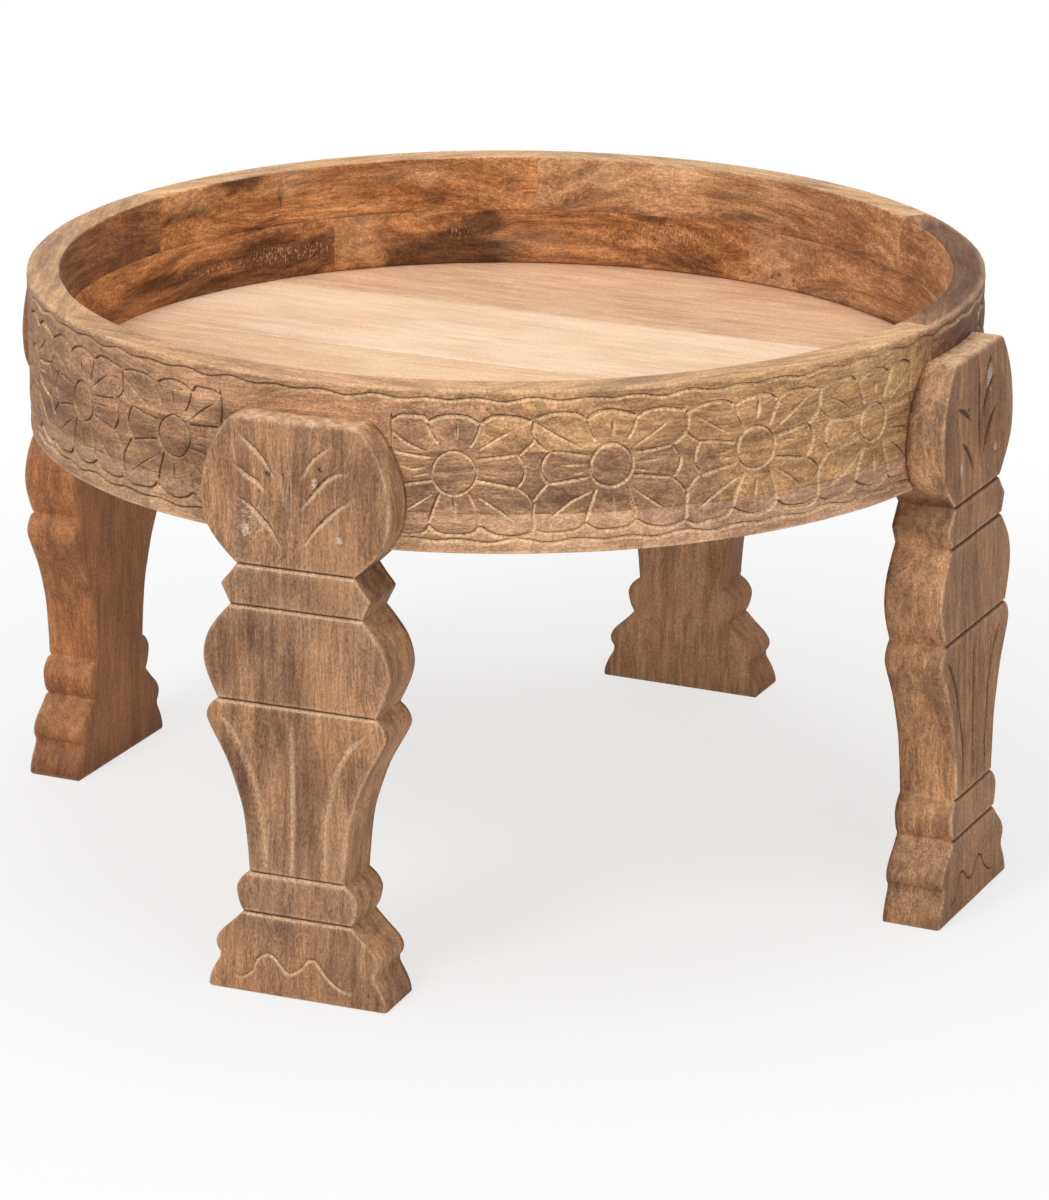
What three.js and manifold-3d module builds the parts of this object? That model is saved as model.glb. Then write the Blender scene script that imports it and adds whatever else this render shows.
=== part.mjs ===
// A round bajot: a low wooden tray table. Its wall is laid up like brickwork from three courses of curved
// blocks, five boards make the tray's floor, and four sawn slab legs are coped to the outside of the wall.
// Millimetres, +Z up, the feet stand on z = 0 and the bounding box is centred on the Z axis.

import * as THREE from 'three';
import { mergeVertices } from 'three/addons/utils/BufferGeometryUtils.js';
import Module from 'manifold-3d';

const wasm = await Module();
wasm.setup();

// Tray wall: a rim course, a wall course and a base course, each of six glued blocks.
const ringRadius = 300;
const ringWall = 21;
const rimHeight = 37;
const wallHeight = 37;
const baseHeight = 24;
const glueGap = 0.3;

// The floor boards lie in a step that is cut all round the base course, and the wall course covers their ends.
const ledgeWidth = 38;
const floorCover = 10;
const floorThickness = 11;
const floorPlay = 0.3;
const boardSeamGap = 0.4;

// Boards from the back to the front, as shares of the floor's width.
const boardShares = [0.2543, 0.2197, 0.2197, 0.1523, 0.154];

// Two battens run across the boards from below, inside the base course. Their spacing is a share of the
// floor's radius.
const battenWidth = 48;
const battenThickness = 12;
const battenSpacingShare = 0.692;
const battenEndPlay = 1;

// Legs: one outline, sawn from a slab. Heights run from the top down, one for each turned-looking member.
const headHeight = 89;
const collarHeight = 25;
const bulbHeight = 59;
const vaseHeight = 105.5;
const beadHeight = 25.5;
const footHeight = 51;
const headHalfWidth = 60;
const collarHalfWidth = 47.5;
const bulbHalfWidth = 59.5;
const vaseHalfWidth = 58;
const beadHalfWidth = 39.3;
const footHalfWidth = 58.5;
const legThickness = 37.5;
const headThickness = 17;
const legSplay = 7;
const headDrop = 21;
const seatGap = 0.3;
const grooveWidth = 3;
const grooveDepth = 1.8;

// Two nails go through each leg's head into the wall course, and two screws into the base course, each at its
// rise above that course's lower edge.
const nailRadius = 1.4;
const nailLength = 33;
const nailSetDepth = 2;
const nailSpacing = 33;
const nailRise = 23.5;
const nailStagger = 3;
const legScrewRadius = 2;
const legScrewHeadRadius = 4;
const legScrewHeadHeight = 2.6;
const legScrewLength = 38;
const legScrewSetDepth = 3;
const legScrewSpacing = 58;
const legScrewRise = 9.5;
const battenScrewRadius = 1.75;
const battenScrewHeadRadius = 3.5;
const battenScrewHeadHeight = 2.2;
const battenScrewLength = 16;
const battenScrewSetDepth = 0.5;
const holePlay = 0.3;
const overrun = 5;

// Facets on the round surfaces.
const pinSides = 10;
const blockFacets = 16;
const floorFacets = 96;
const seatFacets = 144;

// Joints of each course and places of the legs, in degrees about the Z axis.
const rimJointDegrees = [-92.5, -32.5, 23, 85.3, 144.7, 207.5];
const wallJointDegrees = [-66, -6, 53.7, 114.5, 174, 234];
const baseJointDegrees = [-75, -15, 45, 105, 165, 225];
const boardDegrees = -25.6;
const legPlaces = [
  { name: 'front_left', degrees: -112.8 },
  { name: 'front_right', degrees: -26.2 },
  { name: 'back_right', degrees: 64.5 },
  { name: 'back_left', degrees: 154.8 },
];

// Half outline of each leg member: share of its height from the top, share of its half width.
const headShares = [
  [0, 0.67], [0.05, 0.74], [0.16, 0.85], [0.33, 0.955], [0.5, 1], [0.64, 0.99], [0.75, 0.945], [0.87, 0.82],
  [1, 0.625],
];
const collarShares = [[0, 0.79], [0.25, 0.89], [0.48, 0.99], [0.58, 0.99], [0.85, 0.92], [1, 0.885]];
const bulbShares = [[0, 0.705], [0.13, 0.82], [0.3, 0.94], [0.5, 1], [0.66, 0.99], [0.82, 0.935], [1, 0.85]];
const vaseShares = [
  [0, 0.875], [0.04, 0.955], [0.1, 1], [0.16, 0.965], [0.26, 0.865], [0.36, 0.77], [0.5, 0.675], [0.64, 0.6],
  [0.8, 0.56], [1, 0.53],
];
const beadShares = [[0, 0.79], [0.17, 0.92], [0.4, 1], [0.65, 0.985], [0.85, 0.945], [1, 0.89]];
const footLobeShares = [[0, 0.6], [0.14, 0.72], [0.28, 0.85], [0.39, 0.905], [0.48, 0.9], [0.54, 0.865]];
const footFlareShares = [[0.54, 0.865], [0.62, 0.87], [0.74, 0.93], [0.87, 0.98], [1, 1]];
const stepsPerShare = 2;

const courseHeights = [rimHeight, wallHeight, baseHeight];
const ringHeight = courseHeights.reduce((sum, height) => sum + height, 0);
const legMembers = [
  { height: headHeight, halfWidth: headHalfWidth, outlines: [headShares] },
  { height: collarHeight, halfWidth: collarHalfWidth, outlines: [collarShares] },
  { height: bulbHeight, halfWidth: bulbHalfWidth, outlines: [bulbShares] },
  { height: vaseHeight, halfWidth: vaseHalfWidth, outlines: [vaseShares] },
  { height: beadHeight, halfWidth: beadHalfWidth, outlines: [beadShares] },
  { height: footHeight, halfWidth: footHalfWidth, outlines: [footLobeShares, footFlareShares] },
];
const legHeight = legMembers.reduce((sum, member) => sum + member.height, 0);
const tableHeight = legHeight + headDrop;
const ringBottom = tableHeight - ringHeight;
const pocketDepth = floorThickness + floorPlay;
const ledgeTop = ringBottom + baseHeight - pocketDepth;
const ledgeRadius = ringRadius - ledgeWidth;
const floorRadius = ringRadius - ringWall + floorCover;
const nailDrop = legHeight - (ringBottom + baseHeight + nailRise);
const legScrewDrop = legHeight - (ringBottom + legScrewRise);

const woods = {
  tan: 0xb48a5f,
  golden: 0xa97b4c,
  orange: 0x9c6a3f,
  brown: 0x7d5a41,
  grey: 0x8a6c53,
  floor: 0xd9b48d,
  leg: 0xa07a5a,
  batten: 0xb08d67,
};

function woodMaterial(colour) {
  return new THREE.MeshStandardMaterial({ color: colour, roughness: 0.7, metalness: 0 });
}

const steelMaterial = new THREE.MeshStandardMaterial({ color: 0x6f6a63, roughness: 0.45, metalness: 1 });

// A closed geometry as a solid that can be cut, with its shared corners merged.
function solid(geometry) {
  const bare = geometry.clone();
  bare.deleteAttribute('normal');
  bare.deleteAttribute('uv');
  const merged = mergeVertices(bare);
  return new wasm.Manifold(new wasm.Mesh({
    numProp: 3,
    vertProperties: new Float32Array(merged.attributes.position.array),
    triVerts: new Uint32Array(merged.index.array),
  }));
}

// A cut solid back as a flat-shaded geometry.
function geometryOf(cut) {
  const { numProp, vertProperties, triVerts } = cut.getMesh();
  const positions = new Float32Array((vertProperties.length / numProp) * 3);
  for (let vertex = 0; vertex < vertProperties.length / numProp; vertex += 1) {
    for (let axis = 0; axis < 3; axis += 1) {
      positions[vertex * 3 + axis] = vertProperties[vertex * numProp + axis];
    }
  }
  const geometry = new THREE.BufferGeometry();
  geometry.setAttribute('position', new THREE.BufferAttribute(positions, 3));
  geometry.setIndex(new THREE.BufferAttribute(new Uint32Array(triVerts), 1));
  const faceted = geometry.toNonIndexed();
  faceted.computeVertexNormals();
  return faceted;
}

function piece(name, geometry, material) {
  const mesh = new THREE.Mesh(geometry, material);
  mesh.name = name;
  return mesh;
}

// An upright disc standing on z = bottom.
function disc(radius, bottom, height, facets) {
  const geometry = new THREE.CylinderGeometry(radius, radius, height, facets);
  geometry.rotateX(Math.PI / 2);
  geometry.translate(0, 0, bottom + height / 2);
  return geometry;
}

// A pin from a half profile of [radius, distance from its head] points, lying along +X from the origin.
function turnedPin(profile) {
  const points = profile.map(([radius, along]) => new THREE.Vector2(radius, along));
  const geometry = new THREE.LatheGeometry(points, pinSides);
  geometry.rotateZ(-Math.PI / 2);
  return geometry;
}

function nailGeometry(play) {
  const radius = nailRadius + play;
  const tip = nailLength + play;
  return turnedPin([[0, -play], [radius, -play], [radius, tip - 2 * radius], [0, tip]]);
}

function screwGeometry(radius, headRadius, headHeight, length, play) {
  const shank = radius + play;
  const head = headRadius + play;
  const tip = length + play;
  return turnedPin([[0, -play], [head, -play], [shank, headHeight + play], [shank, tip - 2 * shank], [0, tip]]);
}

// The hole for a pin: the pin grown by its play, joined to the bore that it was driven in through.
function pinHole(grownPin, boreRadius, setDepth) {
  const bore = new THREE.CylinderGeometry(boreRadius, boreRadius, setDepth + overrun, pinSides);
  bore.rotateZ(Math.PI / 2);
  bore.translate(-(setDepth + overrun) / 2, 0, 0);
  return geometryOf(solid(grownPin).add(solid(bore)));
}

// Pins of one leg in the leg's own frame, +X outwards: they start under the front face and point inwards.
const legFront = ringRadius + seatGap + headThickness;
const splayRate = legSplay / legHeight;

function frontFaceAt(drop) {
  return legFront + splayRate * drop;
}

function pinPlace(drop, side, setDepth) {
  const place = new THREE.Matrix4().makeRotationZ(Math.PI);
  place.setPosition(frontFaceAt(drop) - setDepth, side, legHeight - drop);
  return place;
}

const legPins = [-1, 1].flatMap((side) => [
  {
    kind: 'nail',
    place: pinPlace(nailDrop - side * nailStagger, (side * nailSpacing) / 2, nailSetDepth),
    shape: nailGeometry(0),
    hole: pinHole(nailGeometry(holePlay), nailRadius + holePlay, nailSetDepth),
  },
  {
    kind: 'screw',
    place: pinPlace(legScrewDrop, (side * legScrewSpacing) / 2, legScrewSetDepth),
    shape: screwGeometry(legScrewRadius, legScrewHeadRadius, legScrewHeadHeight, legScrewLength, 0),
    hole: pinHole(
      screwGeometry(legScrewRadius, legScrewHeadRadius, legScrewHeadHeight, legScrewLength, holePlay),
      legScrewHeadRadius + holePlay,
      legScrewSetDepth,
    ),
  },
]);

// Every hole that the legs' pins make in the ring, in the table's frame.
const ringHoles = legPlaces.flatMap(({ degrees }) => {
  const turn = new THREE.Matrix4().makeRotationZ(THREE.MathUtils.degToRad(degrees));
  return legPins.map((pin) => solid(pin.hole.clone().applyMatrix4(pin.place).applyMatrix4(turn)));
});

// One course of the ring: blocks between neighbouring joints, a glue line apart.
function courseBlocks(name, jointDegrees, innerRadius, bottom, height, colours, pocket) {
  const middleRadius = (innerRadius + ringRadius) / 2;
  const halfGap = glueGap / middleRadius / 2;
  return jointDegrees.map((degrees, index) => {
    const following = jointDegrees[index + 1] ?? jointDegrees[0] + 360;
    const start = THREE.MathUtils.degToRad(degrees) + halfGap;
    const end = THREE.MathUtils.degToRad(following) - halfGap;
    const outline = new THREE.Shape();
    outline.absarc(0, 0, ringRadius, start, end, false);
    outline.absarc(0, 0, innerRadius, end, start, true);
    outline.closePath();
    const blank = new THREE.ExtrudeGeometry(outline, {
      depth: height,
      bevelEnabled: false,
      curveSegments: blockFacets,
    });
    blank.translate(0, 0, bottom);
    const cutters = pocket ? [...ringHoles, pocket] : ringHoles;
    const block = cutters.reduce((rest, cutter) => rest.subtract(cutter), solid(blank));
    return piece(`${name}_${index + 1}`, geometryOf(block), woodMaterial(colours[index]));
  });
}

const table = new THREE.Group();

const rimColours = [woods.golden, woods.grey, woods.tan, woods.orange, woods.brown, woods.orange];
const wallColours = [woods.golden, woods.grey, woods.orange, woods.orange, woods.brown, woods.golden];
const baseColours = [woods.golden, woods.tan, woods.golden, woods.orange, woods.tan, woods.tan];
const ringInner = ringRadius - ringWall;
const floorPocket = solid(disc(floorRadius + floorPlay, ledgeTop, pocketDepth + overrun, floorFacets));
table.add(...courseBlocks(
  'rim_block', rimJointDegrees, ringInner, tableHeight - rimHeight, rimHeight, rimColours, null,
));
table.add(...courseBlocks(
  'wall_block', wallJointDegrees, ringInner, ringBottom + baseHeight, wallHeight, wallColours, null,
));
table.add(...courseBlocks(
  'base_block', baseJointDegrees, ledgeRadius, ringBottom, baseHeight, baseColours, floorPocket,
));

// Floor and battens share a group that is turned to the boards' direction: boards run along its X axis.
const floorGroup = new THREE.Group();
floorGroup.rotation.z = THREE.MathUtils.degToRad(boardDegrees);
table.add(floorGroup);

// The near and far edge of each board.
let boardEdge = floorRadius;
const boardSpans = boardShares.map((share) => {
  const farEdge = boardEdge;
  boardEdge -= share * 2 * floorRadius;
  return [boardEdge, farEdge];
});

const battenLine = (battenSpacingShare * floorRadius) / 2;
const battenReach = ledgeRadius - battenEndPlay;
const battenHalfLength = Math.sqrt(battenReach ** 2 - (battenLine + battenWidth / 2) ** 2);

// Each screw goes up through a batten into the middle of the part of a board that the batten crosses.
const battenScrewPlaces = [-1, 1].flatMap((side) => boardSpans.map(([nearEdge, farEdge]) => {
  const near = Math.max(nearEdge, -battenHalfLength);
  const far = Math.min(farEdge, battenHalfLength);
  const place = new THREE.Matrix4().makeRotationY(-Math.PI / 2);
  place.setPosition(side * battenLine, (near + far) / 2, ledgeTop - battenThickness + battenScrewSetDepth);
  return place;
}));
const battenScrewShape = screwGeometry(
  battenScrewRadius, battenScrewHeadRadius, battenScrewHeadHeight, battenScrewLength, 0,
);
const battenScrewHole = pinHole(
  screwGeometry(battenScrewRadius, battenScrewHeadRadius, battenScrewHeadHeight, battenScrewLength, holePlay),
  battenScrewHeadRadius + holePlay,
  battenScrewSetDepth,
);
const battenHoles = battenScrewPlaces.map((place) => solid(battenScrewHole.clone().applyMatrix4(place)));

const floorDisc = solid(disc(floorRadius, ledgeTop, floorThickness, floorFacets));
boardSpans.forEach(([nearEdge, farEdge], index) => {
  const near = index === boardSpans.length - 1 ? nearEdge - overrun : nearEdge + boardSeamGap / 2;
  const far = index === 0 ? farEdge + overrun : farEdge - boardSeamGap / 2;
  const strip = new THREE.BoxGeometry(2 * (floorRadius + overrun), far - near, floorThickness + 2 * overrun);
  strip.translate(0, (near + far) / 2, ledgeTop + floorThickness / 2);
  const board = battenHoles.reduce((rest, hole) => rest.subtract(hole), floorDisc.intersect(solid(strip)));
  floorGroup.add(piece(`floor_board_${index + 1}`, geometryOf(board), woodMaterial(woods.floor)));
});

[-1, 1].forEach((side, index) => {
  const bar = new THREE.BoxGeometry(battenWidth, 2 * battenHalfLength, battenThickness);
  bar.translate(side * battenLine, 0, ledgeTop - battenThickness / 2);
  const batten = battenHoles.reduce((rest, hole) => rest.subtract(hole), solid(bar));
  floorGroup.add(piece(`floor_batten_${index + 1}`, geometryOf(batten), woodMaterial(woods.batten)));
});

battenScrewPlaces.forEach((place, index) => {
  const screw = piece(`batten_screw_${index + 1}`, battenScrewShape, steelMaterial);
  screw.applyMatrix4(place);
  floorGroup.add(screw);
});

// One side of the leg's outline, from the top to the floor: a smooth line through each member's shares.
function legSide() {
  let top = legHeight;
  return legMembers.flatMap(({ height, halfWidth, outlines }) => {
    const memberTop = top;
    top -= height;
    return outlines.flatMap((shares) => {
      const points = shares.map(([down, wide]) => new THREE.Vector2(wide * halfWidth, memberTop - down * height));
      return new THREE.SplineCurve(points).getPoints(stepsPerShare * (shares.length - 1));
    });
  });
}

function legBlank() {
  const side = legSide();
  const mirrored = side.map((point) => new THREE.Vector2(-point.x, point.y)).reverse();
  const outline = new THREE.Shape([...side, ...mirrored]);
  const slab = new THREE.ExtrudeGeometry(outline, { depth: legThickness, bevelEnabled: false });
  const upright = new THREE.Matrix4().makeBasis(
    new THREE.Vector3(0, 1, 0),
    new THREE.Vector3(0, 0, 1),
    new THREE.Vector3(1, 0, 0),
  );
  slab.applyMatrix4(upright);
  slab.translate(legFront - legThickness, 0, 0);
  return slab;
}

// V grooves across the front face, one where each member meets the next.
function grooveCutters() {
  let height = legHeight;
  return legMembers.slice(0, -1).map((member) => {
    height -= member.height;
    const section = new THREE.Shape([
      new THREE.Vector2(legFront - grooveDepth, height),
      new THREE.Vector2(legFront + overrun, height - (grooveWidth / 2) * (1 + overrun / grooveDepth)),
      new THREE.Vector2(legFront + overrun, height + (grooveWidth / 2) * (1 + overrun / grooveDepth)),
    ]);
    const reach = Math.max(...legMembers.map(({ halfWidth }) => halfWidth)) + overrun;
    const cutter = new THREE.ExtrudeGeometry(section, { depth: 2 * reach, bevelEnabled: false });
    cutter.rotateX(Math.PI / 2);
    cutter.translate(0, reach, 0);
    return solid(cutter);
  });
}

// The slab leans out towards the foot, while its sole and grooves stay level.
const splay = new THREE.Matrix4().set(
  1, 0, -splayRate, splayRate * legHeight,
  0, 1, 0, 0,
  0, 0, 1, 0,
  0, 0, 0, 1,
);

const grooved = grooveCutters().reduce((rest, cutter) => rest.subtract(cutter), solid(legBlank()));
const ringSeat = solid(disc(ringRadius + seatGap, ringBottom - seatGap, ringHeight + overrun, seatFacets));
const legHoles = legPins.map((pin) => solid(pin.hole.clone().applyMatrix4(pin.place)));
const legSolid = [ringSeat, ...legHoles].reduce(
  (rest, cutter) => rest.subtract(cutter),
  solid(geometryOf(grooved).applyMatrix4(splay)),
);
const legGeometry = geometryOf(legSolid);
const legMaterial = woodMaterial(woods.leg);

legPlaces.forEach(({ name, degrees }) => {
  const legGroup = new THREE.Group();
  legGroup.rotation.z = THREE.MathUtils.degToRad(degrees);
  legGroup.add(piece(`leg_${name}`, legGeometry, legMaterial));
  legPins.forEach(({ kind, place, shape }, index) => {
    const sideName = index < legPins.length / 2 ? 'left' : 'right';
    const pin = piece(`${kind}_${name}_${sideName}`, shape, steelMaterial);
    pin.applyMatrix4(place);
    legGroup.add(pin);
  });
  table.add(legGroup);
});

// The legs stand at slightly uneven angles, so the whole table is set with its bounding box on the Z axis.
table.updateMatrixWorld(true);
const middle = new THREE.Box3().setFromObject(table, true).getCenter(new THREE.Vector3());
table.position.set(-middle.x, -middle.y, 0);

export default table;
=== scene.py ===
import math

import bpy
import numpy as np
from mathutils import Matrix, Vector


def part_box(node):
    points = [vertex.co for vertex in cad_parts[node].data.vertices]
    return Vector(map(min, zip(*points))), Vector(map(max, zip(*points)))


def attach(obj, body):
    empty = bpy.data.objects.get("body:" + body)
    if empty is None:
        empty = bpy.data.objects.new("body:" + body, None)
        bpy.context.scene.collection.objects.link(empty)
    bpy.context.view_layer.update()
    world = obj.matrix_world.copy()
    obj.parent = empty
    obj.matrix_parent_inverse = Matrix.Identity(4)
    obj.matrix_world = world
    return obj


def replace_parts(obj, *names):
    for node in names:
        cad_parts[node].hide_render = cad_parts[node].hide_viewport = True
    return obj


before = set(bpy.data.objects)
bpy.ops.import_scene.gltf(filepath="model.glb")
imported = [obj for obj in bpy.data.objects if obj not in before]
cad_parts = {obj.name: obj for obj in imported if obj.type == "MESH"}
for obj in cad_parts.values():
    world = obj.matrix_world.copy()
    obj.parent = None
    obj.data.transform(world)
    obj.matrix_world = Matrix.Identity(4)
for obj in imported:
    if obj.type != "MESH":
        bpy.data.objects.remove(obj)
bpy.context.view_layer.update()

# The wall of the tray is laid up like brickwork: three courses of six blocks, bandsawn from plank to the
# curve, glued with broken joints, turned flush and sanded, and only then carved all round by hand.

RING_MIDDLE = np.array([0.000767, 0.001868])
RING_RADIUS = 0.300
WALL_THICKNESS = 0.021
RIM_TOP = 0.376
RIM_FOOT = 0.339
WALL_FOOT = 0.302
BASE_FOOT = 0.278
LEDGE_TOP = 0.2907
LEDGE_RADIUS = 0.262
FLOOR_POCKET_RADIUS = 0.2893
GLUE_LINE = 0.00006
JOINT_ARRIS = 0.0002
RIM_SOFTNESS = 0.0018
# Steps of the carved grid: finer on the blocks that stand in front.
FINE_CELL = 0.0006
PLAIN_CELL = 0.0009
FRONT_BLOCKS = (0, 4, 5)

MM = 0.001
RING_INSIDE = RING_RADIUS - WALL_THICKNESS


def smooth_line(points, steps=5, closed=False):
    """A smooth line through points: between two of them it is the cubic whose slope at each point is half
    the way from the point before it to the point after it."""
    p = np.asarray(points, float)
    if closed:
        p = np.vstack([p[-1:], p, p[:2]])
    else:
        p = np.vstack([2 * p[0] - p[1], p, 2 * p[-1] - p[-2]])
    before, here, after, later = p[:-3], p[1:-2], p[2:-1], p[3:]
    t = np.linspace(0, 1, steps, endpoint=False)[:, None, None]
    line = 0.5 * (
        2 * here
        + (after - before) * t
        + (2 * before - 5 * here + 4 * after - later) * t**2
        + (3 * here - before - 3 * after + later) * t**3
    )
    return np.vstack([line.transpose(1, 0, 2).reshape(-1, 2), p[-2]])


def distance_to_line(u, v, line):
    """How far each point (u, v) is from a line of short straight stretches, and the share of the line's
    length at which the nearest place lies. Each stretch is tried on the whole grid at once."""
    steps = np.diff(line, axis=0)
    lengths = np.maximum(np.hypot(steps[:, 0], steps[:, 1]), 1e-9)
    starts = np.concatenate([[0.0], np.cumsum(lengths)[:-1]])
    nearest = np.full(np.broadcast(u, v).shape, np.inf)
    along = np.zeros(nearest.shape)
    for (u0, v0), (du, dv), length, start in zip(line[:-1], steps, lengths, starts):
        share = np.clip(((u - u0) * du + (v - v0) * dv) / length**2, 0, 1)
        distance = np.hypot(u - u0 - share * du, v - v0 - share * dv)
        nearer = distance < nearest
        nearest = np.where(nearer, distance, nearest)
        along = np.where(nearer, start + share * length, along)
    return nearest, along / lengths.sum()


def chisel_cut(distance, along, width, depth, run_out):
    """The depth of a hand-cut line: a V that is deepest in its middle and reaches the surface at half its
    width, narrower and shallower over the run_out share of its length at each end."""
    if run_out:
        bite = np.clip(np.minimum(along, 1 - along) / run_out, 0, 1) ** 0.6
    else:
        bite = 1.0
    half = 0.5 * width * (0.5 + 0.5 * bite)
    return depth * bite * np.clip(1 - distance / half, 0, 1) ** 1.15


def mirrored(stroke):
    """A stroke on the other side of a flower's middle line."""
    return [(-along, up) for along, up in stroke]


# Places in a flower are millimetres from its middle: along the wall, and up. Each line is one chisel stroke.
MIDDLE_TIPS = [
    [(-15, 27), (-9, 30.5), (0, 31.8), (9, 30.5), (15, 27)],
    [(-15, -34), (-9, -38.5), (0, -40), (9, -38.5), (15, -34)],
]
OUTER_TIPS = [
    [(15, 27), (21, 31), (30, 31.5), (38, 30.5), (44.5, 28)],
    [(15, -34), (21, -38.5), (30, -40), (38, -40), (44.5, -38)],
]
PETAL_TIPS = []
for middle_tip, outer_tip in zip(MIDDLE_TIPS, OUTER_TIPS):
    PETAL_TIPS += [mirrored(outer_tip)[::-1], middle_tip, outer_tip]
RIGHT_PETAL_SIDES = [
    [(15, 27.5), (12.5, 20), (9, 13.5)],
    [(15, -33.5), (12.5, -24), (8.5, -14)],
    [(13, 6), (24, 7.2), (36, 9)],
    [(13, -7), (24, -8.8), (36, -11)],
]
PETAL_SIDES = [stroke for side in RIGHT_PETAL_SIDES for stroke in (side, mirrored(side))]
RIGHT_PETAL_END = [(36, 9), (39.5, 5), (40.5, -0.5), (39.5, -6), (36, -11)]
SIDE_PETAL_ENDS = [RIGHT_PETAL_END, mirrored(RIGHT_PETAL_END)]
RIGHT_LENS_SIDES = [
    [(45.6, 17), (42.5, 13), (37, 9)],
    [(45.6, -21), (42.5, -16.5), (37, -11)],
]
LENS_SIDES = RIGHT_LENS_SIDES + [mirrored(side) for side in RIGHT_LENS_SIDES]
CELL_SIDES = [
    [(45.8, 28.5), (45.5, 22), (45.8, 16)],
    [(45.8, -20), (45.5, -28), (45.8, -36.5)],
]
PETAL_VEINS = [
    [(13, 10.5), (24, 18), (36, 25.5)],
    [(-17, 10), (-29, 18), (-43, 25.5)],
    [(13, -14), (24, -22), (36, -31)],
    [(-11, -14), (-24, -22.5), (-38, -32)],
    [(0, 28.5), (1, 17.5)],
    [(-0.5, -18), (0.5, -32)],
]
SIDE_VEINS = [
    [(15, 1.2), (23, 1.6), (31, 1.2)],
    [(-15, 1.2), (-23, 1.2), (-31, 0.5)],
    [(14.5, -3.4), (24, -4.6)],
    [(-14.5, -3.2), (-24, -4.4)],
]
# The border that closes the band beside a leg, on the right of the last flower and on the left of the first.
BAND_BORDER = [(36.5, 33), (37, 22), (36.2, 10), (38.5, 0), (36.6, -12), (37, -24), (36.2, -37)]
# Each kind of stroke: its width and depth in millimetres, and the share of its length that runs out.
STROKE_KINDS = {
    "eye": (2.3, 1.5, 0),
    "petal_tip": (2.8, 1.9, 0.05),
    "petal_side": (2.4, 1.6, 0.12),
    "side_petal_end": (2.2, 1.5, 0.1),
    "lens_side": (2.2, 1.5, 0.12),
    "cell_side": (2.4, 1.6, 0.08),
    "border": (2.5, 1.8, 0.06),
    "petal_vein": (2.3, 1.4, 0.4),
    "side_vein": (1.9, 1.0, 0.5),
}
# Where a border closes the band, a stroke that goes further out than BORDER_REACH millimetres is squeezed
# along the wall if it is a petal's tip or side, and left out if it is a side petal's end or a lens. A tip is
# squeezed only outside TIP_ROOT millimetres.
BORDER_REACH = 20
TIP_ROOT = 16
TIP_SQUEEZE = 0.83
SIDE_SQUEEZE = 0.97

# Flowers between one leg and the next: degrees round the ring, and in millimetres the heights below the rim
# of the flower and of its eye, and the eye's radius.
FLOWER_BANDS = [
    [(-96, -47.2, -49.8, 12.9), (-78.6, -45.6, -46.3, 12.7),
     (-61.3, -45.4, -45, 12.8), (-43.8, -45.8, -45.8, 11.6)],
    [(-7.2, -45.5, -46, 12.6), (10.4, -45.6, -45, 12.3),
     (28.0, -46, -46.6, 12.9), (45.6, -45.5, -46, 12.2)],
    [(83.2, -46, -47, 12.5), (100.9, -45.4, -46, 12.9),
     (118.5, -46, -46.5, 12.2), (136.1, -45.5, -45, 12.6)],
    [(176.9, -45.5, -45, 12.8), (194.5, -46, -46.4, 12.4),
     (211.7, -46, -46.8, 12.1), (229.1, -46.6, -48.7, 12.7)],
]
# The two wavy lines that run round the whole wall: height below the rim in metres, how many waves each of
# two sines has in one turn, and where the waves start.
WAVE_LINES = [(-0.0061, 61, 41, 0.4), (-0.0903, 57, 38, 2.1)]
WAVE_SWING = 0.00085
WAVE_WIDTH = 0.0026
WAVE_DEPTH = 0.0017
# Torn grain on the outer face: degrees, metres below the rim, half length and half height.
ROUGH_PATCHES = [(-95.4, -0.0265, 2.0, 0.0085), (-95.0, -0.0035, 1.2, 0.002), (-99.5, -0.068, 1.6, 0.005)]


def reaches_border(stroke, first, last):
    """Whether a stroke lies on the side of a flower where a border closes the band: the left side of the
    band's first flower, and the right side of its last."""
    along = [point[0] for point in stroke]
    return (last and max(along) > BORDER_REACH) or (first and min(along) < -BORDER_REACH)


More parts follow.
